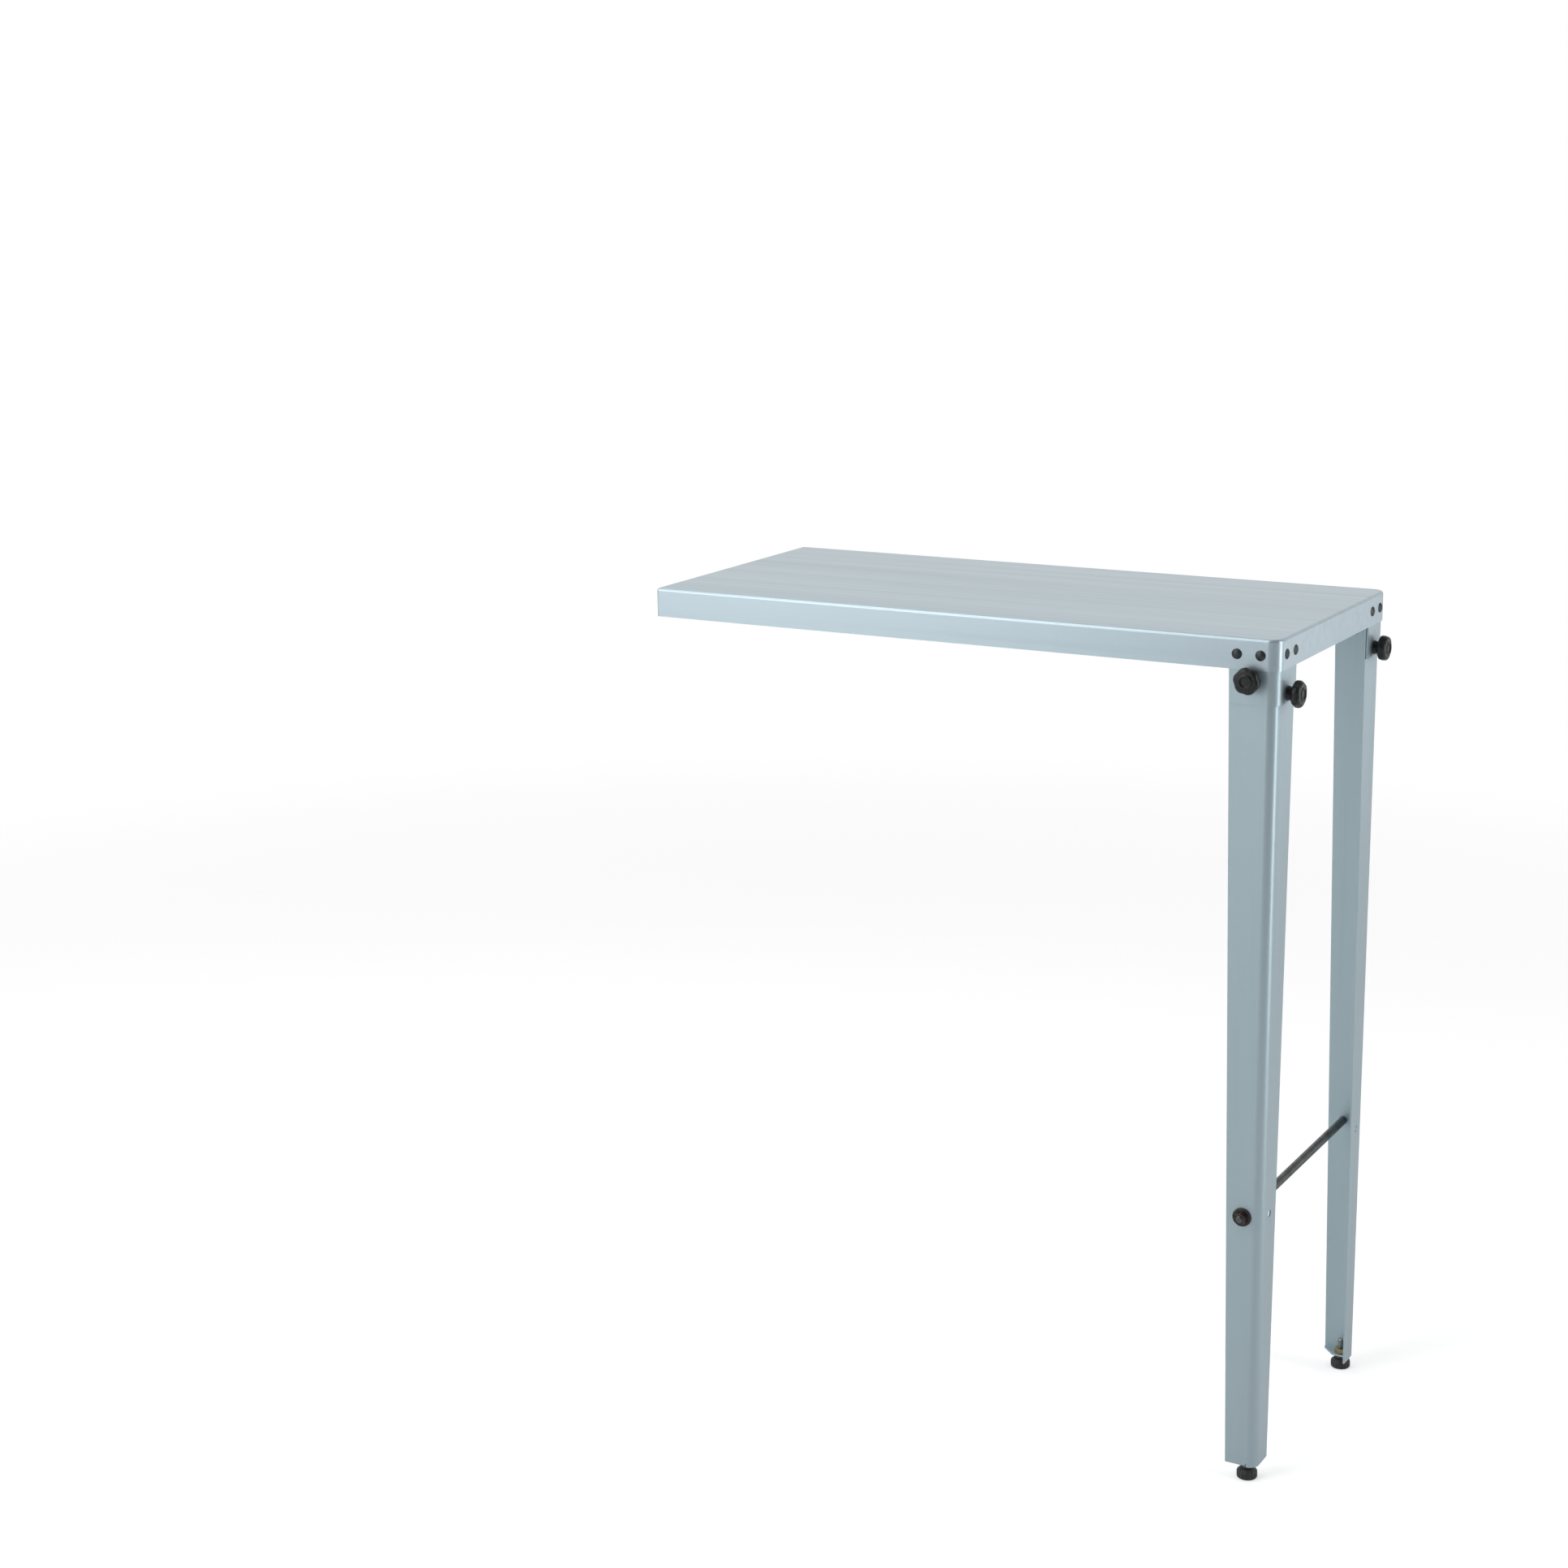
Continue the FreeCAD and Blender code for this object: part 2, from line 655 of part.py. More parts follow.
# ---------------------------------------------------------------- clamp knobs
def make_knob(corner, side):
    """Moulded knob: a hub and a lobed head with a raised ring, about its own Z."""
    label = f"{corner}_{'end' if side == 'end' else 'face'}_knob"
    head_top = s.hub_height + s.knob_head
    boss_top = head_top + s.knob_boss
    rim = s.knob_diameter / 2
    body = turned_body(label, [
        (s.stud_diameter / 2, ZERO), (s.hub_root_diameter / 2, ZERO),
        (s.hub_diameter / 2, s.hub_height / 2), (s.hub_diameter / 2, s.hub_height),
        (rim - s.knob_edge, s.hub_height), (rim, s.hub_height + s.knob_edge),
        (rim, head_top - s.knob_edge), (rim - s.knob_edge, head_top),
        (s.knob_boss_diameter / 2 + s.knob_boss, head_top),
        (s.knob_boss_diameter / 2, boss_top), (s.knob_dimple_diameter / 2, boss_top),
        (s.knob_dimple_diameter / 2 - s.knob_boss, head_top), (ZERO, head_top),
        (ZERO, s.stud_insert), (s.stud_diameter / 2, s.stud_insert)])
    scallop = new_sketch(body, "scallop", "XY_Plane", lift=head_top)
    centre = rim - s.knob_scallop_depth + s.knob_scallop_radius
    draw_circle(scallop, centre, ZERO, s.knob_scallop_radius)
    cut = pocket(body, scallop, depth=s.knob_head)
    ring = body.newObject("PartDesign::PolarPattern", f"{label}_scallops")
    ring.Originals = [cut]
    ring.Axis = (scallop, ["N_Axis"])
    ring.Angle = 360.0
    bind(ring, "Occurrences", s.knob_lobes)
    body.Tip = ring
    doc.recompute()
    x, y, z = on_face(corner, side, s.knob_inset, s.sheet, WORKTOP - knob_drop(side))
    return place(body, x, y, z, FACING[side])


def make_knob_stud(corner, side):
    """Threaded stud moulded into the hub."""
    label = f"{corner}_{'end' if side == 'end' else 'face'}_knob_stud"
    radius = s.stud_diameter / 2
    point = radius - s.stud_bevel
    reach = s.stud_reach
    body = turned_body(label, [
        (ZERO, ZERO - reach), (point, ZERO - reach), (radius, s.stud_bevel - reach),
        (radius, s.stud_insert), (ZERO, s.stud_insert)])
    x, y, z = on_face(corner, side, s.knob_inset, s.sheet, WORKTOP - knob_drop(side))
    return place(body, x, y, z, FACING[side])


def make_clamp_fasteners():
    """Washer and nut inside the leg for each knob."""
    disc = washer("clamp_washer", s.clamp_washer_diameter, s.stud_hole_diameter,
                  s.clamp_washer)
    nut = hex_nut("clamp_nut", s.clamp_nut_flats, s.clamp_nut,
                  s.stud_diameter / 2 + s.thread_play)
    discs, nuts = [], []
    for corner in ("front", "rear"):
        for side in sides(corner):
            z = WORKTOP - knob_drop(side)
            point = on_face(corner, side, s.knob_inset, WASHER_SEAT, z)
            discs.append((*point, INWARD[side]))
            seat = WASHER_SEAT + s.clamp_washer
            point = on_face(corner, side, s.knob_inset, seat, z)
            nuts.append((*point, INWARD[side]))
    return [group("clamp_washers", disc, discs), group("clamp_nuts", nut, nuts)]


# ---------------------------------------------------------------- feet
def foot_axis(corner):
    """Plan position of a foot's axis."""
    x, y, _ = on_face(corner, corner, LEG_FACE + s.foot_end_inset,
                      LEG_FACE + s.foot_side_inset, ZERO)
    return x, y


def make_foot_pad(corner):
    """Round pad that stands on the floor."""
    radius = s.pad_diameter / 2
    socket = s.pad_height - s.foot_stud_insert
    body = turned_body(f"{corner}_foot_pad", [
        (ZERO, ZERO), (radius - s.pad_chamfer, ZERO), (radius, s.pad_chamfer),
        (radius, s.pad_height - s.pad_shoulder), (s.pad_top_diameter / 2, s.pad_height),
        (s.foot_thread / 2, s.pad_height), (s.foot_thread / 2, socket), (ZERO, socket)])
    x, y = foot_axis(corner)
    return place(body, x, y, FLOOR)


def make_foot_stud(corner):
    """Threaded stud of a foot."""
    radius = s.foot_thread / 2
    bevel = s.foot_stud_bevel
    top = s.foot_stud_length
    body = turned_body(f"{corner}_foot_stud", [
        (ZERO, ZERO), (radius, ZERO), (radius, top - bevel), (radius - bevel, top),
        (ZERO, top)])
    x, y = foot_axis(corner)
    return place(body, x, y, FLOOR + s.pad_height - s.foot_stud_insert)


def make_lock_nuts():
    """Lock nuts on top of the foot tabs."""
    nut = hex_nut("lock_nut", s.lock_nut_flats, s.lock_nut,
                  s.foot_thread / 2 + s.thread_play)
    seat = FLOOR + s.tab_level + s.plate
    places = [(*foot_axis(corner), seat, Rotation()) for corner in ("front", "rear")]
    return group("foot_lock_nuts", nut, places)


# ---------------------------------------------------------------- the whole table
def make_parts():
    """Build every piece and return the objects that are written out."""
    parts = [make_table_top()]
    rivet = make_rivet()
    for corner in ("front", "rear"):
        parts += [make_bracket(corner), make_rivets(corner, rivet), make_leg(corner)]
        parts += [make_foot_pad(corner), make_foot_stud(corner)]
        for side in sides(corner):
            parts += [make_knob(corner, side), make_knob_stud(corner, side)]
    parts.append(make_tie_rod())
    parts += make_rod_fasteners()
    parts += make_clamp_fasteners()
    parts.append(make_lock_nuts())
    return parts


def check(parts):
    """Stop if any object failed or any piece isn't a sound solid."""
    doc.recompute()
    for thing in doc.Objects:
        if "Invalid" in thing.State or "Error" in thing.State:
            raise RuntimeError(f"{thing.Name} failed: {thing.State}")
    for thing in parts:
        shape = thing.Shape
        if shape.isNull() or not shape.isValid() or not shape.Solids:
            raise RuntimeError(f"{thing.Label} has no sound shape")


def write(parts):
    """Write one STEP file for each piece."""
    os.makedirs("parts", exist_ok=True)
    for thing in parts:
        thing.Shape.exportStep(f"parts/{thing.Label}.step")
        print(f"{thing.Label}: {len(thing.Shape.Solids)} solids,"
              f" {thing.Shape.Volume:.0f} mm3")


table = make_parts()
check(table)
write(table)
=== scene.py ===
"""Looks of a folded-sheet outfeed table: satin paint, moulded knobs, dark rivets and screw feet.

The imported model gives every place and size. The folded sheets keep their shape and get
softened edges; knobs, fasteners and feet are rebuilt here with their threads and mouldings.
All lengths are in metres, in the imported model's own frame: +X to the legs, +Z up.
"""

import logging
import math
from dataclasses import dataclass, field
from enum import Enum
from typing import Callable, Iterable, Sequence

import bmesh
import bpy
from mathutils import Matrix, Vector


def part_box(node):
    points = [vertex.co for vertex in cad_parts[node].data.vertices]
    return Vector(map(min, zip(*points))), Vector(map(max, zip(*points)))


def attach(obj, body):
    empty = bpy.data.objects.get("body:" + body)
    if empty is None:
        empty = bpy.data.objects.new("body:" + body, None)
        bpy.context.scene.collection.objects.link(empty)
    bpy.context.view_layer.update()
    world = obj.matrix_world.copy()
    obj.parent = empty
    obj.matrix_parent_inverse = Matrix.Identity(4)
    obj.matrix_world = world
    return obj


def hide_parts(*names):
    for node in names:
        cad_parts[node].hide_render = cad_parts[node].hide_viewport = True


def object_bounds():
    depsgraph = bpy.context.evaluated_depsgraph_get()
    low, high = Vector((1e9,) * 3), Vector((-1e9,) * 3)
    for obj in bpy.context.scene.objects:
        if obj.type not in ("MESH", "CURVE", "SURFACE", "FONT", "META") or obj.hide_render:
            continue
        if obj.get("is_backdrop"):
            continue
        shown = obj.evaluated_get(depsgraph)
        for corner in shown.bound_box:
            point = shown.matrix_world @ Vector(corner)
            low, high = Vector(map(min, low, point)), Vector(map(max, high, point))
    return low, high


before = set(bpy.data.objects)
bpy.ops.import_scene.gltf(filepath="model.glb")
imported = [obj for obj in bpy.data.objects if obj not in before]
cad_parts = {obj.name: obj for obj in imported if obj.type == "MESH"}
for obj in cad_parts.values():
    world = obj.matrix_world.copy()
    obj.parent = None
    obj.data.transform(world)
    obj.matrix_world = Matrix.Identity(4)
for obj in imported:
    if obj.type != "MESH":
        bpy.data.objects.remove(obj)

LOG = logging.getLogger("outfeed_table")
MM = 0.001
TURN = 2 * math.pi
TINY = 1e-7
MERGE = 1e-6
NUT_SHARP = 25.0
WHITE = (1.0, 1.0, 1.0, 1.0)

Span = tuple[float, float]
Triple = tuple[float, float, float]
Colour = Triple
Ring = list[Vector]
Mesh = bmesh.types.BMesh
Material = bpy.types.Material
Socket = bpy.types.NodeSocket
Shape = Callable[[float, float, float], float]

NOISE_CORE: Span = (0.35, 0.65)
NOISE_BODY: Span = (0.3, 0.7)
BAND_BASE, BAND_SHARE = 0.5, 0.12


class Side(Enum):
    """The three faces that carry fasteners, each with its outward direction."""

    FRONT = (0.0, -1.0, 0.0)
    REAR = (0.0, 1.0, 0.0)
    END = (1.0, 0.0, 0.0)

    @property
    def outward(self) -> Vector:
        """Outward direction of the face."""
        return Vector(self.value)


class Body(str, Enum):
    """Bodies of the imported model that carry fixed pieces."""

    TABLE = "table"
    LEGS = "leg_frame"


class Grain(Enum):
    """How the streaks of a coat run: stretch of the noise along X, Y and Z."""

    ALONG_TABLE = (0.9, 75.0, 75.0)
    UPRIGHT = (55.0, 55.0, 1.4)

    @property
    def bands(self) -> Triple:
        """Stretch of the broad bands that run the same way."""
        return tuple(BAND_BASE + BAND_SHARE * part for part in self.value)


# ------------------------------------------------------------------------------ finishes
class Recipe:
    """Lays out the nodes of one material."""

    def __init__(self, name: str) -> None:
        """Start an empty material.

        Args:
            name: The material's name.
        """
        self.material = bpy.data.materials.new(name)
        self.material.use_nodes = True
        self.nodes = self.material.node_tree.nodes
        self.links = self.material.node_tree.links
        self.nodes.clear()
        self.output = self.nodes.new("ShaderNodeOutputMaterial")
        self.shader = self.nodes.new("ShaderNodeBsdfPrincipled")
        self.links.new(self.shader.outputs["BSDF"], self.output.inputs["Surface"])
        self.place = self.nodes.new("ShaderNodeTexCoord").outputs["Object"]

    def settings(self, **values: float | Colour) -> None:
        """Set the shader's own sockets.

        Args:
            values: Socket names in lower case with underscores, and their values.
        """
        for name, value in values.items():
            socket = self.shader.inputs[name.replace("_", " ").title().replace("Ior", "IOR")]
            socket.default_value = (*value, 1.0) if isinstance(value, tuple) else value

    def stretched(self, scale: Triple) -> Socket:
        """Coordinates scaled along each axis.

        Args:
            scale: Factors along X, Y and Z.

        Returns:
            The socket that gives the coordinates.
        """
        mapping = self.nodes.new("ShaderNodeMapping")
        mapping.inputs["Scale"].default_value = scale
        self.links.new(self.place, mapping.inputs["Vector"])
        return mapping.outputs["Vector"]

    def noise(self, scale: float, detail: float = 2.0, rough: float = 0.5,
              where: Socket | None = None) -> Socket:
        """A noise of a given scale per metre.

        Args:
            scale: Cells per metre.
            detail: Octaves.
            rough: Share of the finer octaves.
            where: Coordinates, or None for the object's own.

        Returns:
            The noise value's socket.
        """
        node = self.nodes.new("ShaderNodeTexNoise")
        node.inputs["Scale"].default_value = scale
        node.inputs["Detail"].default_value = detail
        node.inputs["Roughness"].default_value = rough
        self.links.new(where or self.place, node.inputs["Vector"])
        return node.outputs["Fac"]

    def cells(self, scale: float) -> Socket:
        """Random grey of the cell that a point lies in.

        Args:
            scale: Cells per metre.

        Returns:
            The colour's socket.
        """
        node = self.nodes.new("ShaderNodeTexVoronoi")
        node.inputs["Scale"].default_value = scale
        self.links.new(self.place, node.inputs["Vector"])
        return node.outputs["Color"]

    def spread(self, value: Socket, low: float, high: float,
               start: float = 0.0, end: float = 1.0) -> Socket:
        """Spread a value over a range.

        Args:
            value: The value.
            low: Value that gives start.
            high: Value that gives end.
            start: First end of the new range.
            end: Other end of the new range.

        Returns:
            The new value's socket.
        """
        node = self.nodes.new("ShaderNodeMapRange")
        node.inputs["From Min"].default_value = low
        node.inputs["From Max"].default_value = high
        node.inputs["To Min"].default_value = start
        node.inputs["To Max"].default_value = end
        self.links.new(value, node.inputs["Value"])
        return node.outputs["Result"]

    def drift(self, value: Socket, reach: Span, level: float, around: Span) -> Socket:
        """A level that drifts with a value: around is added to it at the reach's two ends."""
        return self.spread(value, *reach, level + around[0], level + around[1])

    def blend(self, share: Socket, first: Colour | Socket, second: Colour | Socket) -> Socket:
        """Mix two colours.

        Args:
            share: Share of the second colour.
            first: Colour or socket.
            second: Colour or socket.

        Returns:
            The mixed colour's socket.
        """
        node = self.nodes.new("ShaderNodeMix")
        node.data_type = "RGBA"
        self.links.new(share, node.inputs["Factor"])
        colours = [socket for socket in node.inputs if socket.type == "RGBA"]
        for socket, colour in zip(colours, (first, second)):
            if isinstance(colour, tuple):
                socket.default_value = (*colour, 1.0)
            else:
                self.links.new(colour, socket)
        return next(socket for socket in node.outputs if socket.type == "RGBA")

    def bump(self, height: Socket, depth: float, strength: float = 1.0,
             under: Socket | None = None) -> Socket:
        """Turn a height into a surface direction.

        Args:
            height: The height, from 0 to 1.
            depth: How deep 1 is, in metres.
            strength: Share of the effect.
            under: A direction from another bump that this one lies on.

        Returns:
            The direction's socket.
        """
        node = self.nodes.new("ShaderNodeBump")
        node.inputs["Strength"].default_value = strength
        node.inputs["Distance"].default_value = depth
        self.links.new(height, node.inputs["Height"])
        if under is not None:
            self.links.new(under, node.inputs["Normal"])
        return node.outputs["Normal"]

    def feed(self, socket: str, value: Socket) -> None:
        """Link a value to one of the shader's sockets."""
        self.links.new(value, self.shader.inputs[socket])


def shade(colour: Colour, factor: float) -> Colour:
    """A colour made lighter or darker."""
    return tuple(min(1.0, part * factor) for part in colour)


@dataclass(frozen=True)
class SatinPaint:
    """Silver-grey satin coat on sheet steel, with faint streaks and orange peel."""

    name: str
    colour: Colour
    grain: Grain
    streak: float = 0.05
    metallic: float = 0.60
    roughness: float = 0.33
    roughness_drift: Span = (-0.03, 0.05)
    coat: float = 0.12
    coat_roughness: float = 0.36
    gloss: float = 0.5
    pale_band: float = 1.02
    dark_band: float = 0.975
    streak_reach: Span = (0.48, 0.72)
    streak_gain: float = 6
    streak_tone: float = 0.80
    flakes: float = 2600.0
    flake_share: float = 0.10
    flake_tone: float = 1.45
    peel_cells: float = 420.0
    peel_depth: float = 0.00003
    grain_depth: float = 0.00006
    relief: float = 0.35

    def material(self) -> Material:
        """Make the material.

        Returns:
            The painted finish.
        """
        recipe = Recipe(self.name)
        broad = recipe.noise(1.0, detail=3.0, where=recipe.stretched(self.grain.bands))
        tone = recipe.blend(recipe.spread(broad, *NOISE_CORE),
                            shade(self.colour, self.dark_band),
                            shade(self.colour, self.pale_band))
        streaks = recipe.noise(1.0, detail=5.0, rough=0.62,
                               where=recipe.stretched(self.grain.value))
        lines = recipe.spread(streaks, *self.streak_reach, end=self.streak * self.streak_gain)
        tone = recipe.blend(lines, tone, shade(self.colour, self.streak_tone))
        flake = recipe.spread(recipe.cells(self.flakes), 0.0, 1.0, end=self.flake_share)
        tone = recipe.blend(flake, tone, shade(self.colour, self.flake_tone))
        recipe.feed("Base Color", tone)
        recipe.settings(metallic=self.metallic, coat_weight=self.coat,
                        coat_roughness=self.coat_roughness, specular_ior_level=self.gloss)
        recipe.feed("Roughness", recipe.drift(streaks, NOISE_CORE, self.roughness,
                                              self.roughness_drift))
        peel = recipe.bump(recipe.noise(self.peel_cells), self.peel_depth, self.relief)
        grain = recipe.bump(streaks, self.grain_depth, self.relief, peel)
        recipe.feed("Normal", grain)
        return recipe.material


@dataclass(frozen=True)
class MouldedPlastic:
    """Fine-grained black plastic, a little greyer on its rubbed high spots."""

    name: str
    colour: Colour = (0.008, 0.0098, 0.0104)
    roughness: float = 0.34
    roughness_drift: Span = (-0.07, 0.10)
    gloss: float = 0.38
    rubbed_reach: Span = (0.42, 0.72)
    rubbed_tone: float = 1.6
    grain_cells: float = 3200.0
    grain_depth: float = 0.00005
    relief: float = 0.5

    def material(self) -> Material:
        """Make the material.

        Returns:
            The moulded finish.
        """
        recipe = Recipe(self.name)
        rubbed = recipe.spread(recipe.noise(160.0, detail=4.0, rough=0.6), *self.rubbed_reach)
        recipe.feed("Base Color", recipe.blend(rubbed, self.colour,
                                               shade(self.colour, self.rubbed_tone)))
        recipe.settings(specular_ior_level=self.gloss, ior=1.5)
        recipe.feed("Roughness", recipe.drift(recipe.noise(210.0, detail=3.0), NOISE_BODY,
                                              self.roughness, self.roughness_drift))
        recipe.feed("Normal", recipe.bump(recipe.noise(self.grain_cells), self.grain_depth,
                                          self.relief))
        return recipe.material


@dataclass(frozen=True)
class PlatedSteel:
    """Steel with a plating or an oxide whose tint drifts over the piece."""

    name: str
    first: Colour
    second: Colour
    roughness: float = 0.34
    metallic: float = 0.9
    tint_cells: float = 90.0
    pitting: float = 0.3
    roughness_drift: Span = (-0.08, 0.12)
    gloss: float = 0.5
    pit_cells: float = 1500.0
    pit_depth: float = 0.00004

    def material(self) -> Material:
        """Make the material.

        Returns:
            The plated finish.
        """
        recipe = Recipe(self.name)
        tint = recipe.spread(recipe.noise(self.tint_cells, detail=3.0, rough=0.55), *NOISE_CORE)
        recipe.feed("Base Color", recipe.blend(tint, self.first, self.second))
        recipe.settings(metallic=self.metallic, specular_ior_level=self.gloss)
        smears = recipe.noise(520.0, detail=4.0, rough=0.6)
        recipe.feed("Roughness", recipe.drift(smears, NOISE_BODY, self.roughness,
                                              self.roughness_drift))
        recipe.feed("Normal", recipe.bump(recipe.noise(self.pit_cells, detail=3.0),
                                          self.pit_depth, self.pitting))
        return recipe.material


TOP_PAINT = SatinPaint("satin_paint_top", (0.451, 0.550, 0.605), Grain.ALONG_TABLE, 0.055)
# Legs and brackets take the top's satin paint with a darker colour: the darkening is painted
# shade on these lower parts.
LEG_PAINT_WITH_PAINTED_SHADE = SatinPaint("satin_paint_legs_painted_shade", (0.392, 0.493, 0.540), Grain.UPRIGHT, 0.030,
                       roughness=0.40)
KNOB_PLASTIC = MouldedPlastic("black_moulded_plastic")
FOOT_PLASTIC = MouldedPlastic("black_foot_plastic", (0.024, 0.025, 0.0245), 0.50)
DARK_RIVET = PlatedSteel("dark_rivet_steel", (0.028, 0.033, 0.037), (0.060, 0.066, 0.071),
                         0.36, 0.55)
BLACK_OXIDE = PlatedSteel("black_oxide_steel", (0.030, 0.030, 0.032), (0.075, 0.062, 0.055),
                          0.36, 0.70, 140.0)
ROD_STEEL = PlatedSteel("dark_rod_steel", (0.060, 0.066, 0.064), (0.110, 0.119, 0.115),
                        0.38, 0.80, 60.0)
DULL_ZINC = PlatedSteel("dull_zinc_plate", (0.27, 0.29, 0.31), (0.42, 0.43, 0.42),
                        0.36, 1.0, 110.0, 0.2)
YELLOW_ZINC = PlatedSteel("yellow_zinc_plate", (0.36, 0.26, 0.12), (0.31, 0.28, 0.18),
                          0.32, 1.0, 240.0, 0.2)


# ------------------------------------------------------------------------- mesh helpers
@dataclass(frozen=True)
class Corner:
    """A corner of a turned outline: radius, height and how much it is rounded."""

    r: float
    z: float
    round: float = 0.0


def outline(corners: Sequence[Corner], steps: int = 4) -> list[Span]:
    """Round the corners of a turned outline.

    Args:
        corners: The outline's corners in order.
        steps: Pieces in each rounding.

    Returns:
        Points of the outline as radius and height.
    """
    points: list[Span] = []
    for i, corner in enumerate(corners):
        here = Vector((corner.r, corner.z))
        if corner.round <= 0 or i in (0, len(corners) - 1):
            points.append((here.x, here.y))
            continue
        before = Vector((corners[i - 1].r, corners[i - 1].z)) - here
        after = Vector((corners[i + 1].r, corners[i + 1].z)) - here
        reach = min(corner.round, before.length / 2, after.length / 2)
        start, end = here + before.normalized() * reach, here + after.normalized() * reach
        for k in range(steps + 1):
            t = k / steps
            point = start * (1 - t) ** 2 + here * 2 * t * (1 - t) + end * t * t
            points.append((point.x, point.y))
    return points


def wave(count: int, angle: float) -> float:
    """Wave about a ring, count times round: 1 at angle 0, and 0 between two crests."""
    return 0.5 + 0.5 * math.cos(count * angle)


def rings(points: Iterable[Span], segments: int, shape: Shape | None = None) -> list[Ring]:
    """Turn an outline about Z into rings of points.

    Args:
        points: Radius and height of each ring.
        segments: Points in each ring.
        shape: Gives a point's radius from its angle, radius and height, or None for round.

    Returns:
        The rings.
    """
    made = []
    for r, z in points:
        ring = []
        for j in range(segments):
            angle = TURN * j / segments
            radius = shape(angle, r, z) if shape else r
            ring.append(Vector((radius * math.cos(angle), radius * math.sin(angle), z)))
        made.append(ring)
    return made


def skin(mesh: Mesh, rows: Sequence[Ring], spot: Matrix, closed: bool = False) -> None:
    """Join rings into a surface.

    Args:
        mesh: The mesh that takes the surface.
        rows: Rings with equal numbers of points; a ring on the axis closes an end.
        spot: Where the surface goes.
        closed: Join the last ring to the first, for a piece with a hole.
    """
    grid = [[mesh.verts.new(spot @ point) for point in row] for row in rows]
    pairs = list(zip(grid, grid[1:]))
    if closed:
        pairs.append((grid[-1], grid[0]))
    for lower, upper in pairs:
        count = len(lower)
        for j in range(count):
            k = (j + 1) % count
            mesh.faces.new((lower[j], lower[k], upper[k], upper[j]))


def piece(name: str, mesh: Mesh, material: Material,
          sharp: float = 40.0) -> bpy.types.Object:
    """Make an object of a finished mesh, smooth but for its sharp edges.

    Args:
        name: The object's name.
        mesh: The mesh, which is used up.
        material: Its finish.
        sharp: Edges that turn more than this many degrees stay crisp.

    Returns:
        The object.
    """
    bmesh.ops.remove_doubles(mesh, verts=mesh.verts, dist=MERGE)
    bmesh.ops.dissolve_degenerate(mesh, edges=mesh.edges, dist=MERGE)
    bmesh.ops.recalc_face_normals(mesh, faces=mesh.faces)
    data = bpy.data.meshes.new(name)
    mesh.to_mesh(data)
    mesh.free()
    data.shade_smooth()
    data.set_sharp_from_angle(angle=math.radians(sharp))
    data.materials.append(material)
    made = bpy.data.objects.new(name, data)
    bpy.context.scene.collection.objects.link(made)
    return made


def standing(point: Vector, outward: Vector, turn: float = 0.0) -> Matrix:
    """Place at a point, with its Z axis along outward and turned about that in radians."""
    facing = outward.to_track_quat("Z", "Y").to_matrix().to_4x4()
    return Matrix.Translation(point) @ facing @ Matrix.Rotation(turn, 4, "Z")


def seat_of(node: str, outward: Vector) -> Vector:
    """Middle of a node's inner end, seen along outward.

    Args:
        node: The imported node.
        outward: Direction in which the node points.

    Returns:
        The point on the node's axis where the node begins.
    """
    low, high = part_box(node)
    middle, half = (low + high) / 2, (high - low) / 2
    reach = sum(abs(outward[k]) * half[k] for k in range(3))
    return middle - outward * reach


def hand_over(made: bpy.types.Object, body: str, slot: str, *nodes: str) -> None:
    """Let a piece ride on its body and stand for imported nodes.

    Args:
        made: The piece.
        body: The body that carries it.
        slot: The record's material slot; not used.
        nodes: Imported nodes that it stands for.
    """
    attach(made, body)
    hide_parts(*nodes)
    LOG.info("%s: %d faces, on %s", made.name, len(made.data.polygons), body)


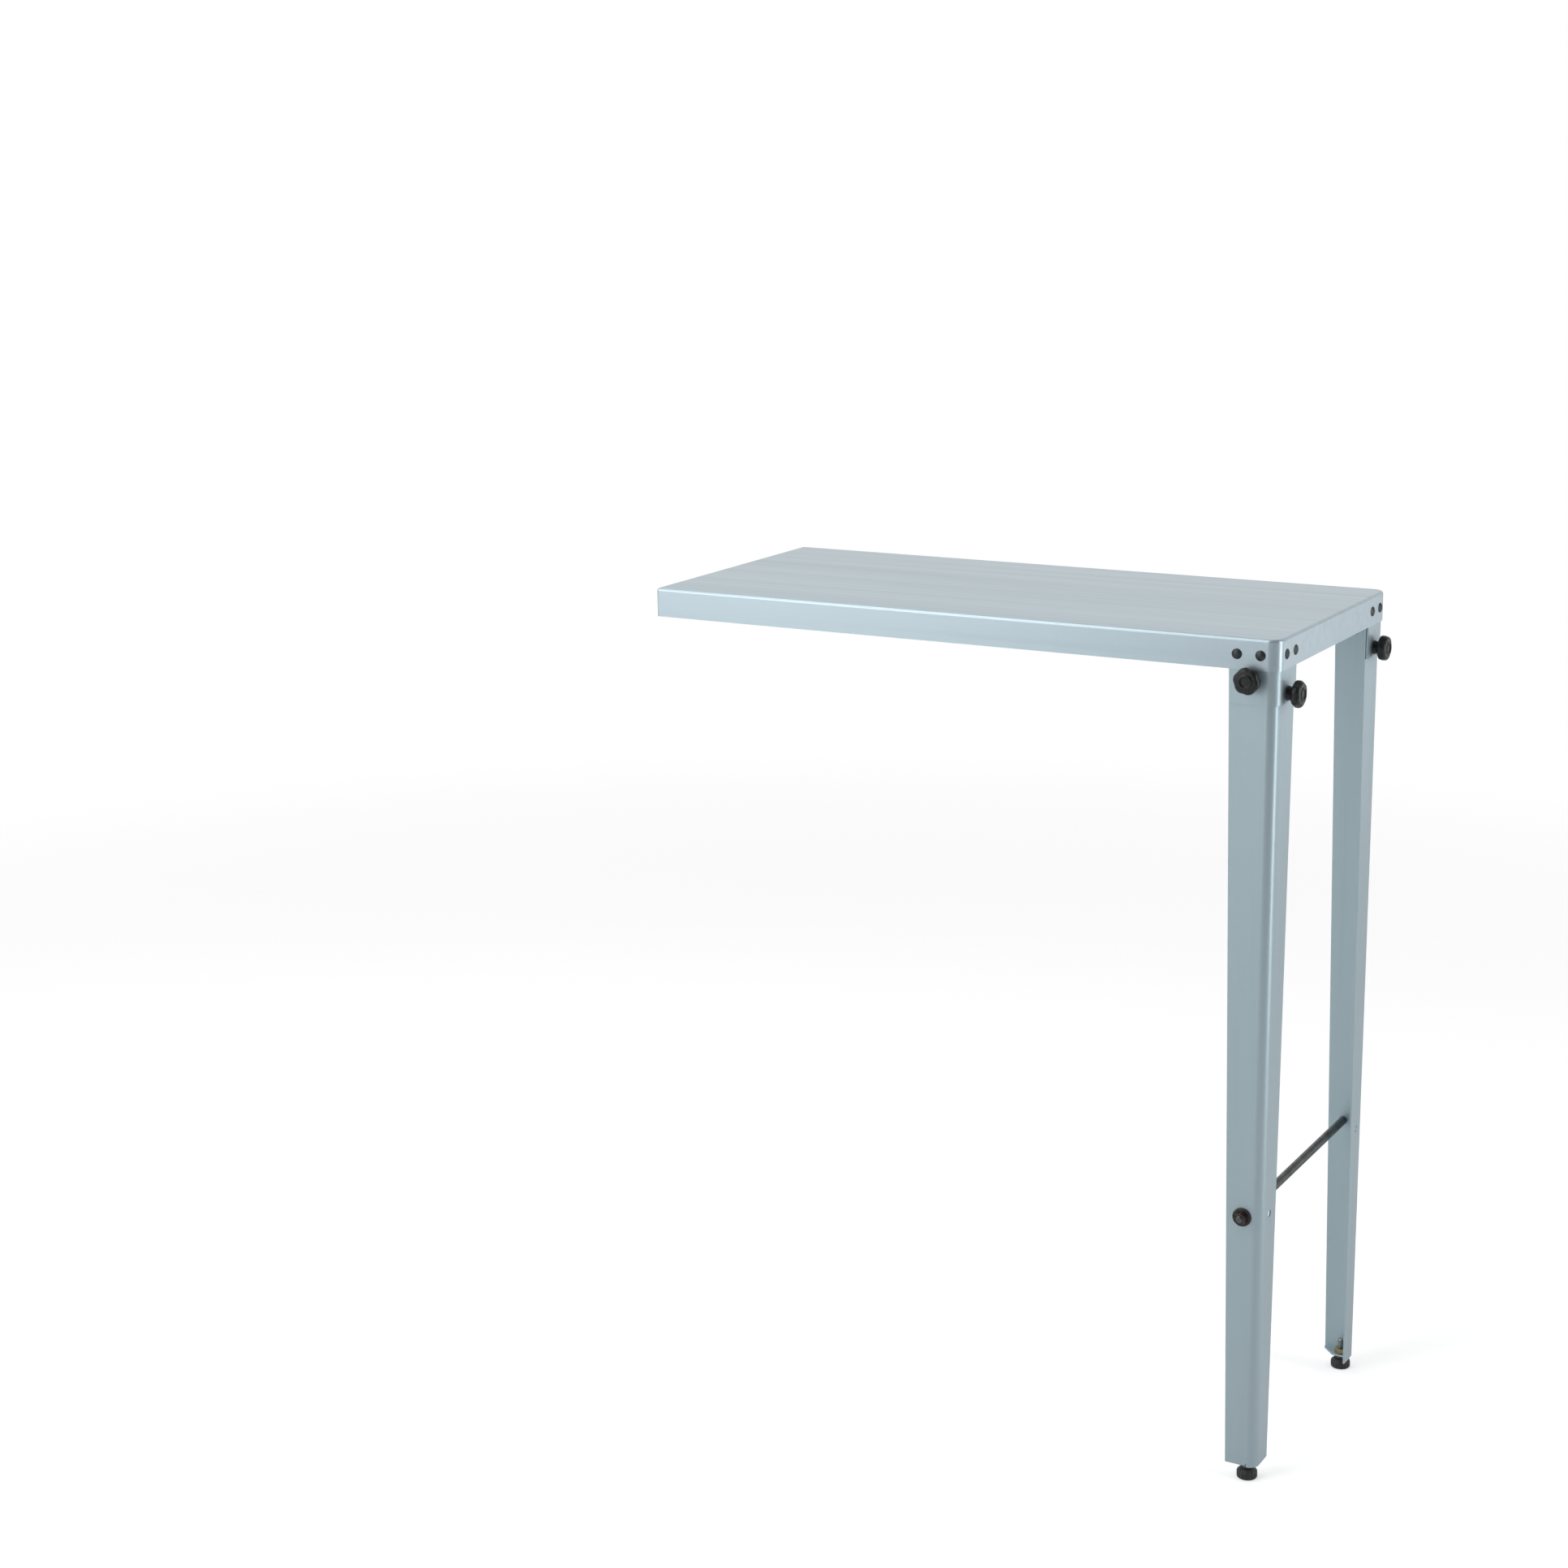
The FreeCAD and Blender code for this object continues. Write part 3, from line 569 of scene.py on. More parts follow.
# ------------------------------------------------------------------------ turned pieces
@dataclass
class Thread:
    """Rolled thread about Z, with bevelled ends; crest, root and depth in pitches."""

    radius: float
    pitch: float
    low: float
    high: float
    bevel: float
    segments: int = 28
    crest: float = 0.18
    root: float = 0.26
    depth: float = 0.61

    def _marks(self) -> tuple[Span, ...]:
        """Corners of the ridge that each turn repeats.

        Returns:
            Share of the pitch and depth of the cut, for each corner.
        """
        cut = self.depth * self.pitch
        flank = (1 - self.crest - self.root) / 2
        return ((0.0, 0.0), (self.crest, 0.0), (self.crest + flank, cut),
                (self.crest + flank + self.root, cut))

    def rows(self) -> list[Ring]:
        """Rings of the threaded stretch.

        Returns:
            Rings that follow the helix, held flat at both ends.
        """
        marks = self._marks()
        # Spare turns past both ends, which _point holds flat at the ends.
        first = math.floor(self.low / self.pitch) - 2
        last = math.ceil(self.high / self.pitch) + 1
        made = []
        for turn in range(first, last + 1):
            for share, cut in marks:
                ring = []
                for j in range(self.segments):
                    wanted = (turn + share + j / self.segments) * self.pitch
                    ring.append(self._point(j, wanted, cut))
                made.append(ring)
        return made

    def _point(self, j: int, wanted: float, cut: float) -> Vector:
        """A point of the helix, held within the ends and their bevels.

        Args:
            j: Number of the point in its ring.
            wanted: Height that the helix gives it.
            cut: Depth below the crest.

        Returns:
            The point.
        """
        z = min(max(wanted, self.low), self.high)
        limit = self.radius - max(0.0, self.bevel - min(z - self.low, self.high - z))
        radius = min(self.radius - cut, limit)
        if wanted != z:
            radius = self.radius - self.bevel
        angle = TURN * j / self.segments
        return Vector((radius * math.cos(angle), radius * math.sin(angle), z))

    def add_to(self, mesh: Mesh, spot: Matrix) -> None:
        """Add the threaded stretch, closed at both ends, to a mesh.

        Args:
            mesh: The mesh.
            spot: Where the thread's frame goes.
        """
        grid = [[mesh.verts.new(spot @ point) for point in row] for row in self.rows()]
        turn = len(self._marks())
        for i in range(len(grid) - 1):
            for j in range(self.segments):
                k = (j + 1) % self.segments
                step = turn if k == 0 else 0
                if i + 1 + step >= len(grid):
                    continue
                mesh.faces.new((grid[i][j], grid[i + step][k], grid[i + 1 + step][k],
                                grid[i + 1][j]))
        for z in (self.low, self.high):
            rim = [(self.radius - self.bevel, z), (0.0, z)]
            skin(mesh, rings(rim, self.segments), spot)


@dataclass
class HexNut:
    """Hexagon nut about Z with turned-off corners and a chamfered bore."""

    flats: float
    height: float
    bore: float
    segments: int = 48
    face_share: float = 0.95
    corner_angle: float = 30.0
    relief_share: float = 0.08

    def add_to(self, mesh: Mesh, spot: Matrix) -> None:
        """Add the nut to a mesh.

        Args:
            mesh: The mesh.
            spot: Where the nut's seat goes.
        """
        half = self.flats / 2
        face = half * self.face_share
        slope = math.tan(math.radians(self.corner_angle))
        relief = self.bore * self.relief_share

        def flank(angle: float) -> float:
            """Radius of the hexagon at an angle."""
            part = (angle % (TURN / 6)) - TURN / 12
            return half / math.cos(part)

        def drop(angle: float) -> float:
            """How far the turned-off corner comes down at an angle."""
            return (flank(angle) - face) * slope

        rows = rings([(self.bore + relief, 0.0), (face, 0.0)], self.segments)
        for top in (False, True):
            ring = []
            for j in range(self.segments):
                angle = TURN * j / self.segments
                r = flank(angle)
                z = self.height - drop(angle) if top else drop(angle)
                ring.append(Vector((r * math.cos(angle), r * math.sin(angle), z)))
            rows.append(ring)
        rows += rings([(face, self.height), (self.bore + relief, self.height),
                       (self.bore, self.height - relief), (self.bore, relief)],
                      self.segments)
        skin(mesh, rows, spot, closed=True)


@dataclass
class FlatWasher:
    """Stamped washer about Z, with one rolled-over edge."""

    radius: float
    hole: float
    height: float
    segments: int = 48
    soft_share: float = 0.35

    def add_to(self, mesh: Mesh, spot: Matrix) -> None:
        """Add the washer to a mesh.

        Args:
            mesh: The mesh.
            spot: Where the washer's seat goes.
        """
        soft = self.height * self.soft_share
        points = outline([
            Corner(self.hole, 0.0), Corner(self.radius, 0.0, soft / 2),
            Corner(self.radius, self.height, soft),
            Corner(self.hole, self.height, soft / 2), Corner(self.hole, soft / 4)])
        skin(mesh, rings(points, self.segments), spot, closed=True)


@dataclass
class DomeRivet:
    """Rivet about Z with a pressed dome, its tail flush in a countersink."""

    head: float = 5.6 * MM
    height: float = 2.4 * MM
    shank: float = 3.0 * MM
    grip: float = 3.5 * MM
    countersink: float = 1.2 * MM
    rim: float = 0.35 * MM
    dent: float = 0.25 * MM
    dent_shares: Span = (0.45, 0.55)
    steps: int = 12
    segments: int = 40

    def add_to(self, mesh: Mesh, spot: Matrix) -> None:
        """Add the rivet to a mesh.

        Args:
            mesh: The mesh.
            spot: Where the underside of its head goes.
        """
        tail = self.shank + self.countersink
        dent_in, dent_out = (tail * share for share in self.dent_shares)
        points = [(0.0, self.dent - self.grip), (dent_in, self.dent - self.grip),
                  (dent_out, -self.grip), (tail, -self.grip),
                  (self.shank, self.countersink - self.grip), (self.shank, 0.0),
                  (self.head - self.rim / 2, 0.0), (self.head, self.rim / 2),
                  (self.head, self.rim)]
        rise = self.height - self.rim
        ball = (self.head ** 2 + rise ** 2) / (2 * rise)
        full = math.asin(self.head / ball)
        for k in range(1, self.steps + 1):
            angle = full * (1 - k / self.steps)
            points.append((ball * math.sin(angle),
                           self.rim + rise - ball * (1 - math.cos(angle))))
        skin(mesh, rings(points, self.segments), spot)


@dataclass
class StarKnob:
    """Moulded clamp knob about Z: hub, lobed head and a raised ring on its face."""

    radius: float = 14.5 * MM
    head: float = 10.0 * MM
    edge: float = 3.0 * MM
    wall: Span = (0.6, 0.9)
    under_rim: float = 0.80
    top_rim: float = 0.83
    under_flat: float = 2.2 * MM
    hub: float = 7.0 * MM
    hub_root: float = 8.0 * MM
    hub_height: float = 6.5 * MM
    hub_flare: Span = (1.6 * MM, 3.6 * MM)
    ring: float = 7.0 * MM
    ring_width: float = 1.5 * MM
    ring_height: float = 1.2 * MM
    ring_foot: float = 0.6 * MM
    dish: float = 0.2 * MM
    crown: float = 0.15 * MM
    soft: float = 0.5 * MM
    lobes: int = 6
    lobe_start: float = 1.5 * MM
    cut: float = 0.95 * MM
    cut_power: float = 1.6
    segments: int = 144

    def _lobed(self, angle: float, r: float, z: float) -> float:
        """Radius of the knob at a point: rounded lobes with a hollow between each two.

        Args:
            angle: The point's angle about the knob.
            r: Its radius on the round outline.
            z: Its height.

        Returns:
            The radius with the hollows cut in.
        """
        inner = self.ring + self.lobe_start
        if r <= inner or z < self.hub_height - TINY:
            return r
        share = (r - inner) / (self.radius - inner)
        hollow = self.cut * wave(self.lobes, angle) ** self.cut_power
        return r - hollow * share * share * (3 - 2 * share)

    def add_to(self, mesh: Mesh, spot: Matrix) -> None:
        """Add the knob to a mesh.

        Args:
            mesh: The mesh.
            spot: Where the hub's seat goes.
        """
        top = self.hub_height + self.head
        ring_in = self.ring - self.ring_width
        flare_low, flare_high = self.hub_flare
        wall_low, wall_high = self.wall
        soft = self.soft
        corners = [
            Corner(0.0, 0.0), Corner(self.hub_root, 0.0, soft / 2),
            Corner(self.hub_root - soft, flare_low, soft), Corner(self.hub, flare_high, soft),
            Corner(self.hub, self.hub_height, soft * 1.5),
            Corner(self.ring + self.under_flat, self.hub_height),
            Corner(self.radius * self.under_rim, self.hub_height, soft),
            Corner(self.radius, self.hub_height + self.edge * wall_low, self.edge),
            Corner(self.radius, top - self.edge * wall_high, self.edge),
            Corner(self.radius * self.top_rim, top, self.edge),
            Corner(self.ring + soft + self.ring_foot, top, soft),
            Corner(self.ring, top + self.ring_height, soft),
            Corner(ring_in, top + self.ring_height, soft),
            Corner(ring_in - soft, top - self.dish, soft), Corner(0.0, top + self.crown)]
        skin(mesh, rings(outline(corners, 5), self.segments, self._lobed), spot)


@dataclass
class FootPad:
    """Moulded foot about Z: bevelled base, fluted grip, sloped shoulder and a collar."""

    radius: float = 11.5 * MM
    height: float = 11.0 * MM
    base_bevel: float = 1.2 * MM
    shoulder: float = 3.0 * MM
    neck: float = 8.5 * MM
    stud: float = 4.05 * MM
    collar: float = 0.7 * MM
    hollow: float = 0.8 * MM
    hollow_shares: Span = (0.55, 0.62)
    soft: float = 0.5 * MM
    flutes: int = 16
    flute_depth: float = 0.45 * MM
    flute_end: float = 0.8
    flute_start: float = 1.15
    segments: int = 128

    def _fluted(self, angle: float, r: float, z: float) -> float:
        """Radius at a point, with the grip's flutes.

        Args:
            angle: The point's angle about the foot.
            r: Its radius on the round outline.
            z: Its height.

        Returns:
            The radius with the flutes cut in.
        """
        low = self.base_bevel * self.flute_end
        high = self.height - self.shoulder * self.flute_end
        if r < self.neck * self.flute_start or not low < z < high:
            return r
        return r - self.flute_depth * wave(self.flutes, angle) ** 2

    def add_to(self, mesh: Mesh, spot: Matrix) -> None:
        """Add the foot to a mesh.

        Args:
            mesh: The mesh.
            spot: Where its underside goes.
        """
        soft = self.soft
        hollow_in, hollow_out = (self.radius * share for share in self.hollow_shares)
        waist = self.height - self.shoulder
        corners = [
            Corner(0.0, self.hollow), Corner(hollow_in, self.hollow, soft),
            Corner(hollow_out, 0.0, soft),
            Corner(self.radius - self.base_bevel, 0.0, soft),
            Corner(self.radius, self.base_bevel, soft * 2),
            Corner(self.radius, (self.base_bevel + waist) / 2),
            Corner(self.radius, waist, soft * 2),
            Corner(self.neck, self.height - self.collar, soft),
            Corner(self.neck - soft, self.height, soft),
            Corner(self.stud + soft, self.height, soft), Corner(self.stud, self.height - soft),
            Corner(0.0, self.height - soft)]
        skin(mesh, rings(outline(corners), self.segments, self._fluted), spot)


# ------------------------------------------------------------------------ sub-assemblies
@dataclass
class FoldedSheet:
    """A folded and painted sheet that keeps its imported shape, with softened cut edges."""

    node: str
    body: Body
    slot: str
    paint: Material
    edge: float = 0.30 * MM
    edge_segments: int = 2
    flat_within: float = 0.5
    sharp: float = 32.0
    smooth_below: float = 60.0
    face_weight: int = 80

    def build(self) -> bpy.types.Object:
        """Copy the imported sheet, join its facets and round its cut edges.

        Returns:
            The piece that stands for the node.
        """
        mesh = bmesh.new()
        mesh.from_mesh(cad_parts[self.node].data)
        bmesh.ops.remove_doubles(mesh, verts=mesh.verts, dist=MERGE)
        bmesh.ops.dissolve_limit(mesh, angle_limit=math.radians(self.flat_within),
                                 verts=mesh.verts, edges=mesh.edges)
        limit = math.radians(self.sharp)
        crisp = [edge for edge in mesh.edges
                 if len(edge.link_faces) == 2 and edge.calc_face_angle() > limit]
        bmesh.ops.bevel(mesh, geom=crisp, offset=self.edge, segments=self.edge_segments,
                        profile=0.5, affect="EDGES", clamp_overlap=True)
        made = piece(f"{self.node}_sheet", mesh, self.paint, self.smooth_below)
        weighted = made.modifiers.new("flat faces stay flat", "WEIGHTED_NORMAL")
        weighted.keep_sharp = True
        weighted.weight = self.face_weight
        hand_over(made, self.body.value, self.slot, self.node)
        return made


@dataclass
class TableTop:
    """The folded top and the two brackets riveted into its leg-end corners."""

    paint: SatinPaint = TOP_PAINT
    # The brackets take the legs' paint, whose darker colour is painted shade.
    bracket_paint_with_painted_shade: SatinPaint = LEG_PAINT_WITH_PAINTED_SHADE
    rivet_drop: float = 17.4 * MM
    rivets_across: Span = (21.0 * MM, 46.8 * MM)
    side_turn: float = 0.7
    end_turn: float = 1.9

    def build(self) -> None:
        """Build the top, its brackets and its rivets."""
        FoldedSheet("table_top", Body.TABLE, "top_paint", self.paint.material()).build()
        paint = self.bracket_paint_with_painted_shade.material()
        steel = DARK_RIVET.material()
        for corner in (Side.FRONT, Side.REAR):
            name = corner.name.lower()
            FoldedSheet(f"{name}_corner_bracket", Body.TABLE, "leg_paint", paint).build()
            mesh = bmesh.new()
            for spot in self._rivet_spots(corner):
                DomeRivet().add_to(mesh, spot)
            rivets = piece(f"{name}_corner_dome_rivets", mesh, steel)
            hand_over(rivets, Body.TABLE.value, "rivet_steel", f"{name}_corner_rivets")

    def _rivet_spots(self, corner: Side) -> list[Matrix]:
        """Places of a corner's rivets, two on the long side and two on the end.

        Args:
            corner: The long side that the corner belongs to.

        Returns:
            The places, each with its Z axis out of the sheet.
        """
        low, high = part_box("table_top")
        z = high.z - self.rivet_drop
        edge = high.y if corner is Side.REAR else low.y
        inward = -corner.outward.y
        spots = []
        for number, across in enumerate(self.rivets_across):
            on_side = Vector((high.x - across, edge, z))
            on_end = Vector((high.x, edge + inward * across, z))
            spots.append(standing(on_side, corner.outward, self.side_turn * number))
            spots.append(standing(on_end, Side.END.outward, self.end_turn * number))
        return spots


@dataclass
class LegFrame:
    """Two tapered angle legs, the rod that ties them and the lock nuts of their feet."""

    # The legs' paint is the top's paint in a darker colour, as painted shade.
    paint: SatinPaint = LEG_PAINT_WITH_PAINTED_SHADE
    rod_radius: float = 4.8 * MM
    thread_radius: float = 4.0 * MM
    pitch: float = 1.25 * MM
    thread_bevel: float = 0.8 * MM
    threaded_end: float = 12.0 * MM
    rod_soft: float = 0.5 * MM
    rod_segments: int = 28
    rod_nut_turn: float = 0.35
    lock_nut_turn: float = 0.4
    washer: FlatWasher = field(default_factory=lambda: FlatWasher(10.5 * MM, 4.25 * MM, 2 * MM))
    nut: HexNut = field(default_factory=lambda: HexNut(13 * MM, 6.5 * MM, 3.5 * MM))

    def build(self) -> None:
        """Build the legs, the tie rod with its fasteners and the lock nuts."""
        paint = self.paint.material()
        for name in ("front_leg", "rear_leg"):
            FoldedSheet(name, Body.LEGS, "leg_paint", paint).build()
        self._build_rod()
        self._build_rod_fasteners()
        self._build_lock_nuts()

    def _build_rod(self) -> None:
        """Build the shouldered rod with its threaded ends."""
        low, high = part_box("tie_rod")
        length = high.y - low.y
        spot = standing(seat_of("tie_rod", Side.REAR.outward), Side.REAR.outward)
        thread, soft = self.threaded_end, self.rod_soft
        mesh = bmesh.new()
        body = outline([
            Corner(0.0, thread), Corner(self.rod_radius, thread, soft),
            Corner(self.rod_radius, length - thread, soft), Corner(0.0, length - thread)])
        skin(mesh, rings(body, self.rod_segments), spot)
        for start, end in ((0.0, thread + soft), (length - thread - soft, length)):
            Thread(self.thread_radius, self.pitch, start, end, self.thread_bevel).add_to(
                mesh, spot)
        rod = piece("threaded_tie_rod", mesh, ROD_STEEL.material())
        hand_over(rod, Body.LEGS.value, "black_steel", "tie_rod")

    def _build_rod_fasteners(self) -> None:
        """Build the washers and nuts outside the legs."""
        steel = BLACK_OXIDE.material()
        low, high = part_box("tie_rod_washers")
        nut_low, nut_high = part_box("tie_rod_nuts")
        middle = (low + high) / 2
        washers, nuts = bmesh.new(), bmesh.new()
        for side, face, nut_face in ((Side.FRONT, low.y, nut_low.y),
                                     (Side.REAR, high.y, nut_high.y)):
            out = side.outward
            seat = Vector((middle.x, face, middle.z)) - out * self.washer.height
            self.washer.add_to(washers, standing(seat, out))
            seat = Vector((middle.x, nut_face, middle.z)) - out * self.nut.height
            self.nut.add_to(nuts, standing(seat, out, self.rod_nut_turn))
        hand_over(piece("tie_rod_flat_washers", washers, steel), Body.LEGS.value,
                  "black_steel", "tie_rod_washers")
        hand_over(piece("tie_rod_hex_nuts", nuts, steel, NUT_SHARP), Body.LEGS.value,
                  "black_steel", "tie_rod_nuts")

    def _build_lock_nuts(self) -> None:
        """Build the plated nuts that lock the feet on top of their tabs."""
        low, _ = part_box("foot_lock_nuts")
        turn = Matrix.Rotation(self.lock_nut_turn, 4, "Z")
        mesh = bmesh.new()
        for corner in (Side.FRONT, Side.REAR):
            stud_low, stud_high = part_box(f"{corner.name.lower()}_foot_stud")
            axis = (stud_low + stud_high) / 2
            self.nut.add_to(mesh, Matrix.Translation((axis.x, axis.y, low.z)) @ turn)
        hand_over(piece("foot_lock_hex_nuts", mesh, YELLOW_ZINC.material(), NUT_SHARP),
                  Body.LEGS.value, "yellow_zinc", "foot_lock_nuts")


@dataclass
class ClampKnobs:
    """The four clamp knobs with their threaded studs, and the washers and nuts inside."""

    knob: StarKnob = field(default_factory=StarKnob)
    stud_radius: float = 3.0 * MM
    pitch: float = 1.0 * MM
    stud_bevel: float = 0.75 * MM
    stud_segments: int = 24
    washer: FlatWasher = field(default_factory=lambda: FlatWasher(7 * MM, 3.3 * MM, 1 * MM))
    nut: HexNut = field(default_factory=lambda: HexNut(10 * MM, 4 * MM, 2.6 * MM))
    turns: tuple[float, ...] = (0.30, 0.00, 0.52, 0.26)

    def build(self) -> None:
        """Build every knob and its fasteners."""
        plastic, zinc = KNOB_PLASTIC.material(), DULL_ZINC.material()
        spots = [(corner, side) for corner in (Side.FRONT, Side.REAR)
                 for side in (corner, Side.END)]
        washers, nuts = bmesh.new(), bmesh.new()
        low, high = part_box("clamp_washers")
        nut_low, nut_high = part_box("clamp_nuts")
        for (corner, side), turn in zip(spots, self.turns):
            kind = "end" if side is Side.END else "face"
            name = f"{corner.name.lower()}_{kind}_knob"
            out = side.outward
            mesh = bmesh.new()
            seat = seat_of(name, out)
            self.knob.add_to(mesh, standing(seat, out, turn))
            hand_over(piece(f"{name}_moulding", mesh, plastic), name, "black_plastic", name)
            self._build_stud(name, out, zinc)
            washer_face = max(out.dot(high), out.dot(low))
            nut_face = max(out.dot(nut_high), out.dot(nut_low))
            axis = seat - out * out.dot(seat)
            self.washer.add_to(washers, standing(axis + out * washer_face, -out))
            self.nut.add_to(nuts, standing(axis + out * nut_face, -out, turn))
        hand_over(piece("clamp_flat_washers", washers, zinc), Body.TABLE.value, "zinc_steel",
                  "clamp_washers")
        hand_over(piece("clamp_hex_nuts", nuts, zinc, NUT_SHARP), Body.TABLE.value,
                  "zinc_steel", "clamp_nuts")

    def _build_stud(self, name: str, out: Vector, zinc: Material) -> None:
        """Build a knob's threaded stud.

        Args:
            name: The knob's node.
            out: Direction in which the knob points.
            zinc: The stud's finish.
        """
        node = f"{name}_stud"
        low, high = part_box(node)
        thread = Thread(self.stud_radius, self.pitch, 0.0, abs(out.dot(high - low)),
                        self.stud_bevel, self.stud_segments)
        mesh = bmesh.new()
        thread.add_to(mesh, standing(seat_of(node, out), out))
        hand_over(piece(f"{node}_thread", mesh, zinc), name, "zinc_steel", node)


@dataclass
class Feet:
    """The two screw feet."""

    pad: FootPad = field(default_factory=FootPad)
    stud_radius: float = 4.0 * MM
    pitch: float = 1.25 * MM
    bevel: float = 1.0 * MM

    def build(self) -> None:
        """Build both pads and their studs."""
        plastic, zinc = FOOT_PLASTIC.material(), DULL_ZINC.material()
        up = Vector((0.0, 0.0, 1.0))
        for name in ("front_foot", "rear_foot"):
            mesh = bmesh.new()
            self.pad.add_to(mesh, standing(seat_of(f"{name}_pad", up), up))
            hand_over(piece(f"{name}_moulding", mesh, plastic), name, "foot_rubber",
                      f"{name}_pad")
            low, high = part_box(f"{name}_stud")
            mesh = bmesh.new()
            Thread(self.stud_radius, self.pitch, 0.0, high.z - low.z, self.bevel).add_to(
                mesh, standing(seat_of(f"{name}_stud", up), up))
            hand_over(piece(f"{name}_thread", mesh, zinc), name, "zinc_steel",
                      f"{name}_stud")


# -------------------------------------------------------------------------------- studio
@dataclass(frozen=True)
class Softbox:
    """A large soft lamp that points at the table."""

    name: str
    place: Triple
    size: Span
    power: float
    aim: Triple = (0.45, 0.0, -0.30)

    def build(self) -> None:
        """Add the lamp, unseen by the camera."""
        lamp = bpy.data.lights.new(self.name, "AREA")
        lamp.shape = "RECTANGLE"
        lamp.size, lamp.size_y = self.size
        lamp.energy = self.power
        made = bpy.data.objects.new(self.name, lamp)
        made.location = self.place
        direction = Vector(self.aim) - Vector(self.place)
        made.rotation_mode = "QUATERNION"
        made.rotation_quaternion = direction.to_track_quat("-Z", "Y")
        made.visible_camera = False
        bpy.context.scene.collection.objects.link(made)


